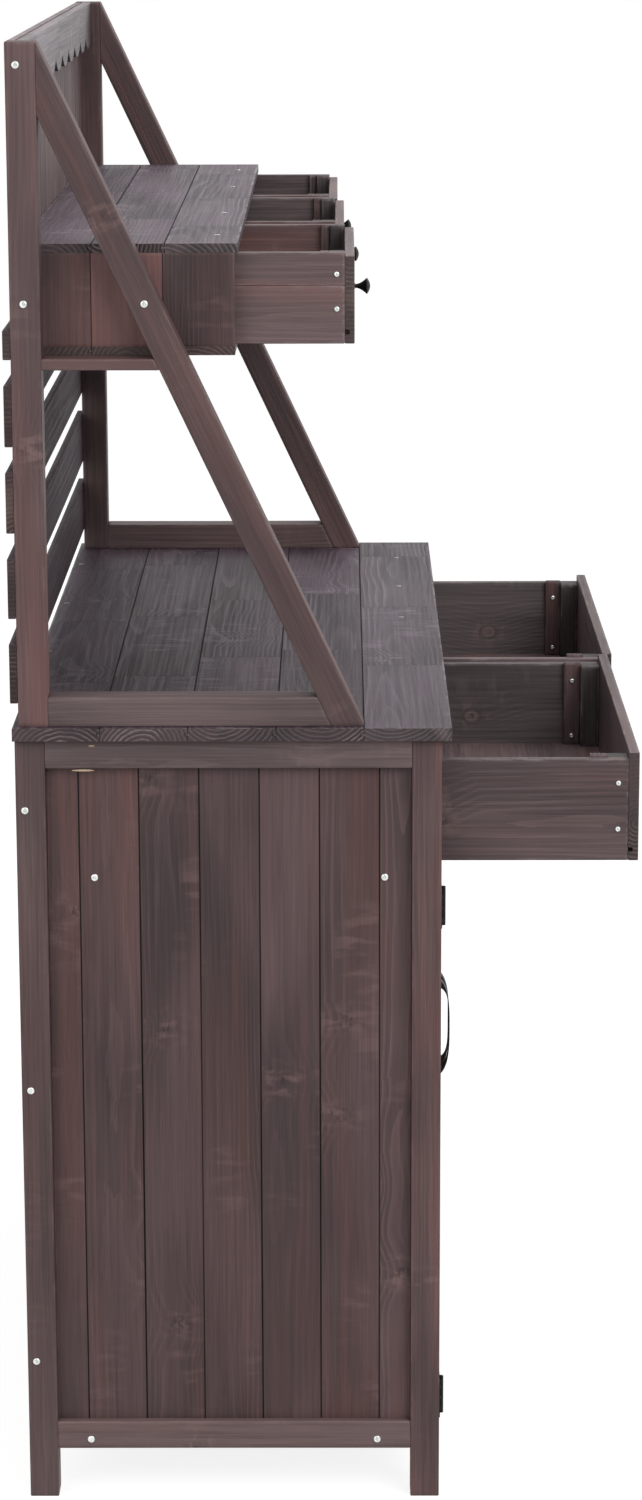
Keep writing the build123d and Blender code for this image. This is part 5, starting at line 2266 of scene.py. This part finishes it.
@dataclass
class Nails:
    """Small bright staple crowns that hold the worktop and shelf boards down."""

    length: float = 6.5 * MM
    wire: float = 0.9 * MM
    sunk: float = 0.3 * MM
    proud: float = 0.35 * MM
    edge: float = 0.25 * MM
    seed: int = 5
    back_line: float = 0.2393
    front_line: float = -0.2022
    shelf_line: float = 0.0166
    back_places: tuple[float, ...] = (-0.478, -0.1655, 0.1472, 0.4325)
    front_places: tuple[float, ...] = (0.0478, 0.2635, 0.479)
    shelf_places: tuple[float, ...] = (-0.46, -0.1814, 0.1903, 0.46)

    def build(self) -> None:
        """Build one piece that holds the crowns."""
        worktop = spans("worktop_boards")[2][1]
        shelf = spans("shelf_top")[2][1]
        crowns = [
            self.crown(x, line, height)
            for places, line, height in (
                (self.back_places, self.back_line, worktop),
                (self.front_places, self.front_line, worktop),
                (self.shelf_places, self.shelf_line, shelf),
            )
            for x in places
        ]
        install(Surface.joined(crowns), "staple_crowns", ZINC_PLATE, BENCH)

    def crown(self, x: float, y: float, z: float) -> Surface:
        """Lay one staple's crown flat on the boards, a rounded bar along the bench's depth.

        Args:
            x: Its middle across.
            y: Its middle in depth.
            z: The boards' upper face.

        Returns:
            The closed surface.
        """
        ranges = (centred(self.wire, x), centred(self.length, y), (z - self.sunk, z + self.proud))
        flat = bar(*ranges, Run.DEPTH, arris=self.edge, bow=0.0)
        return board_surface(flat, np.random.default_rng(self.seed))


@dataclass
class Chips:
    """Pale slivers on the lower edge of the left end's top rail, where the stain was knocked off."""

    places: tuple[Triple, ...] = ((0.1705, 0.8908, 0.026), (0.1602, 0.9196, 0.008))
    height: float = 2.6 * MM
    proud: float = 0.15 * MM
    sunk: float = 0.1 * MM
    back: float = 0.5 * MM
    steps: int = 15
    rows: int = 7
    blunt: float = 0.98
    ragged: float = 0.25

    def build(self, joiner: Joiner) -> None:
        """Build one piece that holds the slivers.

        Args:
            joiner: Source of the slivers' ragged outlines.
        """
        face = spans("side_rails")[0][0]
        slivers = [self.sliver(face, *place, joiner.rng) for place in self.places]
        install(Surface.joined(slivers), "rail_chips", BARE_WOOD, BENCH)

    def sliver(self, face: float, y: float, z: float, length: float, rng: np.random.Generator) -> Surface:
        """Raise a thin lens on the rail's face.

        Across the grid (s, t) the lens is as tall as height * sqrt(1 - s^2) and as proud as
        (1 - s^2)(1 - t^2); its rim lies just inside the face, and a flat back closes it.

        Args:
            face: Where the rail's face lies across the bench.
            y: The sliver's middle in depth.
            z: The sliver's middle height.
            length: Its length.
            rng: Source of its ragged outline.

        Returns:
            The closed surface.
        """
        s = np.linspace(-self.blunt, self.blunt, self.steps)[:, None]
        t = np.linspace(-1, 1, self.rows)[None]
        torn = 1 - self.ragged + self.ragged * rng.uniform(0, 1, (self.steps, 1))
        tall = self.height / 2 * np.sqrt(1 - s**2) * torn
        rise = (1 - s**2) * (1 - t**2)
        front_x = face + self.sunk - (self.proud + self.sunk) * rise
        depth = np.repeat(y + length / 2 * s, self.rows, axis=1)
        front = np.stack([front_x, depth, z + tall * t], axis=-1)
        back = front.copy()
        back[..., 0] = face + self.back
        loop = np.concatenate([front, back[:, ::-1]], axis=1)
        faces, _ = tube_faces(self.steps, loop.shape[1])
        surface = Surface.plain(loop.reshape(-1, 3), faces)
        surface.grain = surface.points[:, [1, 2, 0]]
        return surface


@dataclass(frozen=True)
class Lamp:
    """A soft square lamp that faces a target."""

    name: str
    place: Triple
    target: Triple
    width: float
    power: float

    def hang(self) -> None:
        """Hang the lamp."""
        light = bpy.data.lights.new(self.name, "AREA")
        light.size = self.width
        light.energy = self.power
        lamp = bpy.data.objects.new(self.name, light)
        towards = np.array(self.target) - np.array(self.place)
        axes = facing_axes(tuple(-towards / np.linalg.norm(towards)))
        lamp.matrix_world = Matrix.Translation(self.place) @ Matrix(axes.T.tolist()).to_4x4()
        bpy.context.scene.collection.objects.link(lamp)


@dataclass
class Studio:
    """The floor, soft light and camera."""

    floor_reach: float = 80.0
    focal_pixels: float = 3802.0
    image_height: float = 1500.0
    sensor: float = 36.0
    place: Triple = (-4.803, -0.1248, 1.905)
    yaw: float = 0.005632
    pitch: float = 0.2309
    roll: float = -0.002898
    world_light: float = 0.5
    floor_glow: float = 0.85
    floor_color: Triple = (0.30, 0.30, 0.30)
    lamps: tuple[Lamp, ...] = (
        Lamp("key", (-3.6, -2.6, 3.4), (0.0, -0.1, 0.8), 2.6, 120.0),
        Lamp("fill", (-3.2, 2.6, 2.2), (0.0, 0.0, 0.9), 3.0, 45.0),
        Lamp("top", (0.3, -0.6, 4.2), (0.0, 0.0, 0.9), 3.0, 70.0),
    )

    def build(self) -> None:
        """Set up the stage."""
        bpy.context.scene.view_settings.view_transform = "Standard"
        self.floor()
        self.world()
        for lamp in self.lamps:
            lamp.hang()
        self.camera()

    def floor(self) -> None:
        """Lay a pale floor that glows white to the camera and still takes the bench's shadow."""
        reach = centred(2 * self.floor_reach)
        corners = np.column_stack([rectangle(reach, reach), np.zeros(4)])
        made, pen = new_material("pale_floor")
        matte = pen.node("ShaderNodeBsdfDiffuse", {"Color": (*self.floor_color, 1.0)})
        glow = pen.node("ShaderNodeEmission", {"Strength": pen.times(self.seen(pen), self.floor_glow)})
        both = pen.node("ShaderNodeAddShader", {0: matte.outputs[0], 1: glow.outputs[0]})
        pen.show(both.outputs[0])
        floor = Surface.plain(corners, [[0, 1, 2, 3]]).to_object("floor", [made])

    def seen(self, pen: Canvas) -> Socket:
        """Return 1 for rays from the camera, from glossy surfaces and through glass.

        Args:
            pen: The shader tree's canvas.

        Returns:
            The value's socket.
        """
        path = pen.node("ShaderNodeLightPath")
        first = pen.math("MAXIMUM", path.outputs["Is Camera Ray"], path.outputs["Is Glossy Ray"])
        return pen.math("MAXIMUM", first, path.outputs["Is Transmission Ray"])

    def world(self) -> None:
        """Light the stage evenly, and show white to the camera."""
        world = bpy.data.worlds.new("studio")
        bpy.context.scene.world = world
        world.use_nodes = True
        pen = Canvas(world.node_tree)
        strength = pen.math("MULTIPLY_ADD", self.seen(pen), 1.0 - self.world_light, self.world_light)
        shell = pen.node("ShaderNodeBackground", {"Color": WHITE, "Strength": strength})
        pen.show(shell.outputs[0], "ShaderNodeOutputWorld")

    def camera(self) -> None:
        """Stand the camera where the photograph was taken from."""
        data = bpy.data.cameras.new("camera")
        data.sensor_fit = "VERTICAL"
        data.sensor_height = self.sensor
        data.lens = self.focal_pixels / self.image_height * self.sensor
        ahead = cos(self.pitch)
        forward = np.array([ahead * cos(self.yaw), ahead * sin(self.yaw), -sin(self.pitch)])
        level = np.array([sin(self.yaw), -cos(self.yaw), 0.0])
        upright = np.cross(level, forward)
        right = cos(self.roll) * level + sin(self.roll) * upright
        up = -sin(self.roll) * level + cos(self.roll) * upright
        turn = Matrix(np.stack([right, up, -forward], axis=1).tolist()).to_4x4()
        camera = bpy.data.objects.new("camera", data)
        camera.matrix_world = Matrix.Translation(self.place) @ turn
        bpy.context.scene.collection.objects.link(camera)
        bpy.context.scene.camera = camera


def main() -> None:
    """Build the finishes, the bench and the studio."""
    logging.basicConfig(level=logging.INFO, format="%(name)s: %(message)s")
    for group in (GrainGroup(), WearAndPaintedLightGroup(), SurfaceGroup()):
        group.build()
    joiner = Joiner(seed=7)
    Cabinet().build(joiner)
    Worktop().build(joiner)
    Hutch().build(joiner)
    ShelfBox().build(joiner)
    for drawer in (
        Drawer("drawer_large_left", LARGE, (-0.1, -0.1), far_knot=(0.163, 0.051, 0.009)),
        Drawer("drawer_large_right", LARGE, (0.0, 0.3), far_knot=(0.126, 0.048, 0.0095)),
        Drawer("drawer_small_left", SMALL, (2.5, 0.5), far_tone=(0.4, 0.6)),
        Drawer("drawer_small_middle", SMALL, (0.2, 0.0)),
        Drawer("drawer_small_right", SMALL, (0.2, 0.1)),
    ):
        drawer.build(joiner)
    for name in ("door_left", "door_right"):
        Door(name).build(joiner)
    Hinges().build()
    FrameScrews().build()
    Nails().build()
    Chips().build(joiner)
    Studio().build()


if __name__ == "__main__":
    main()
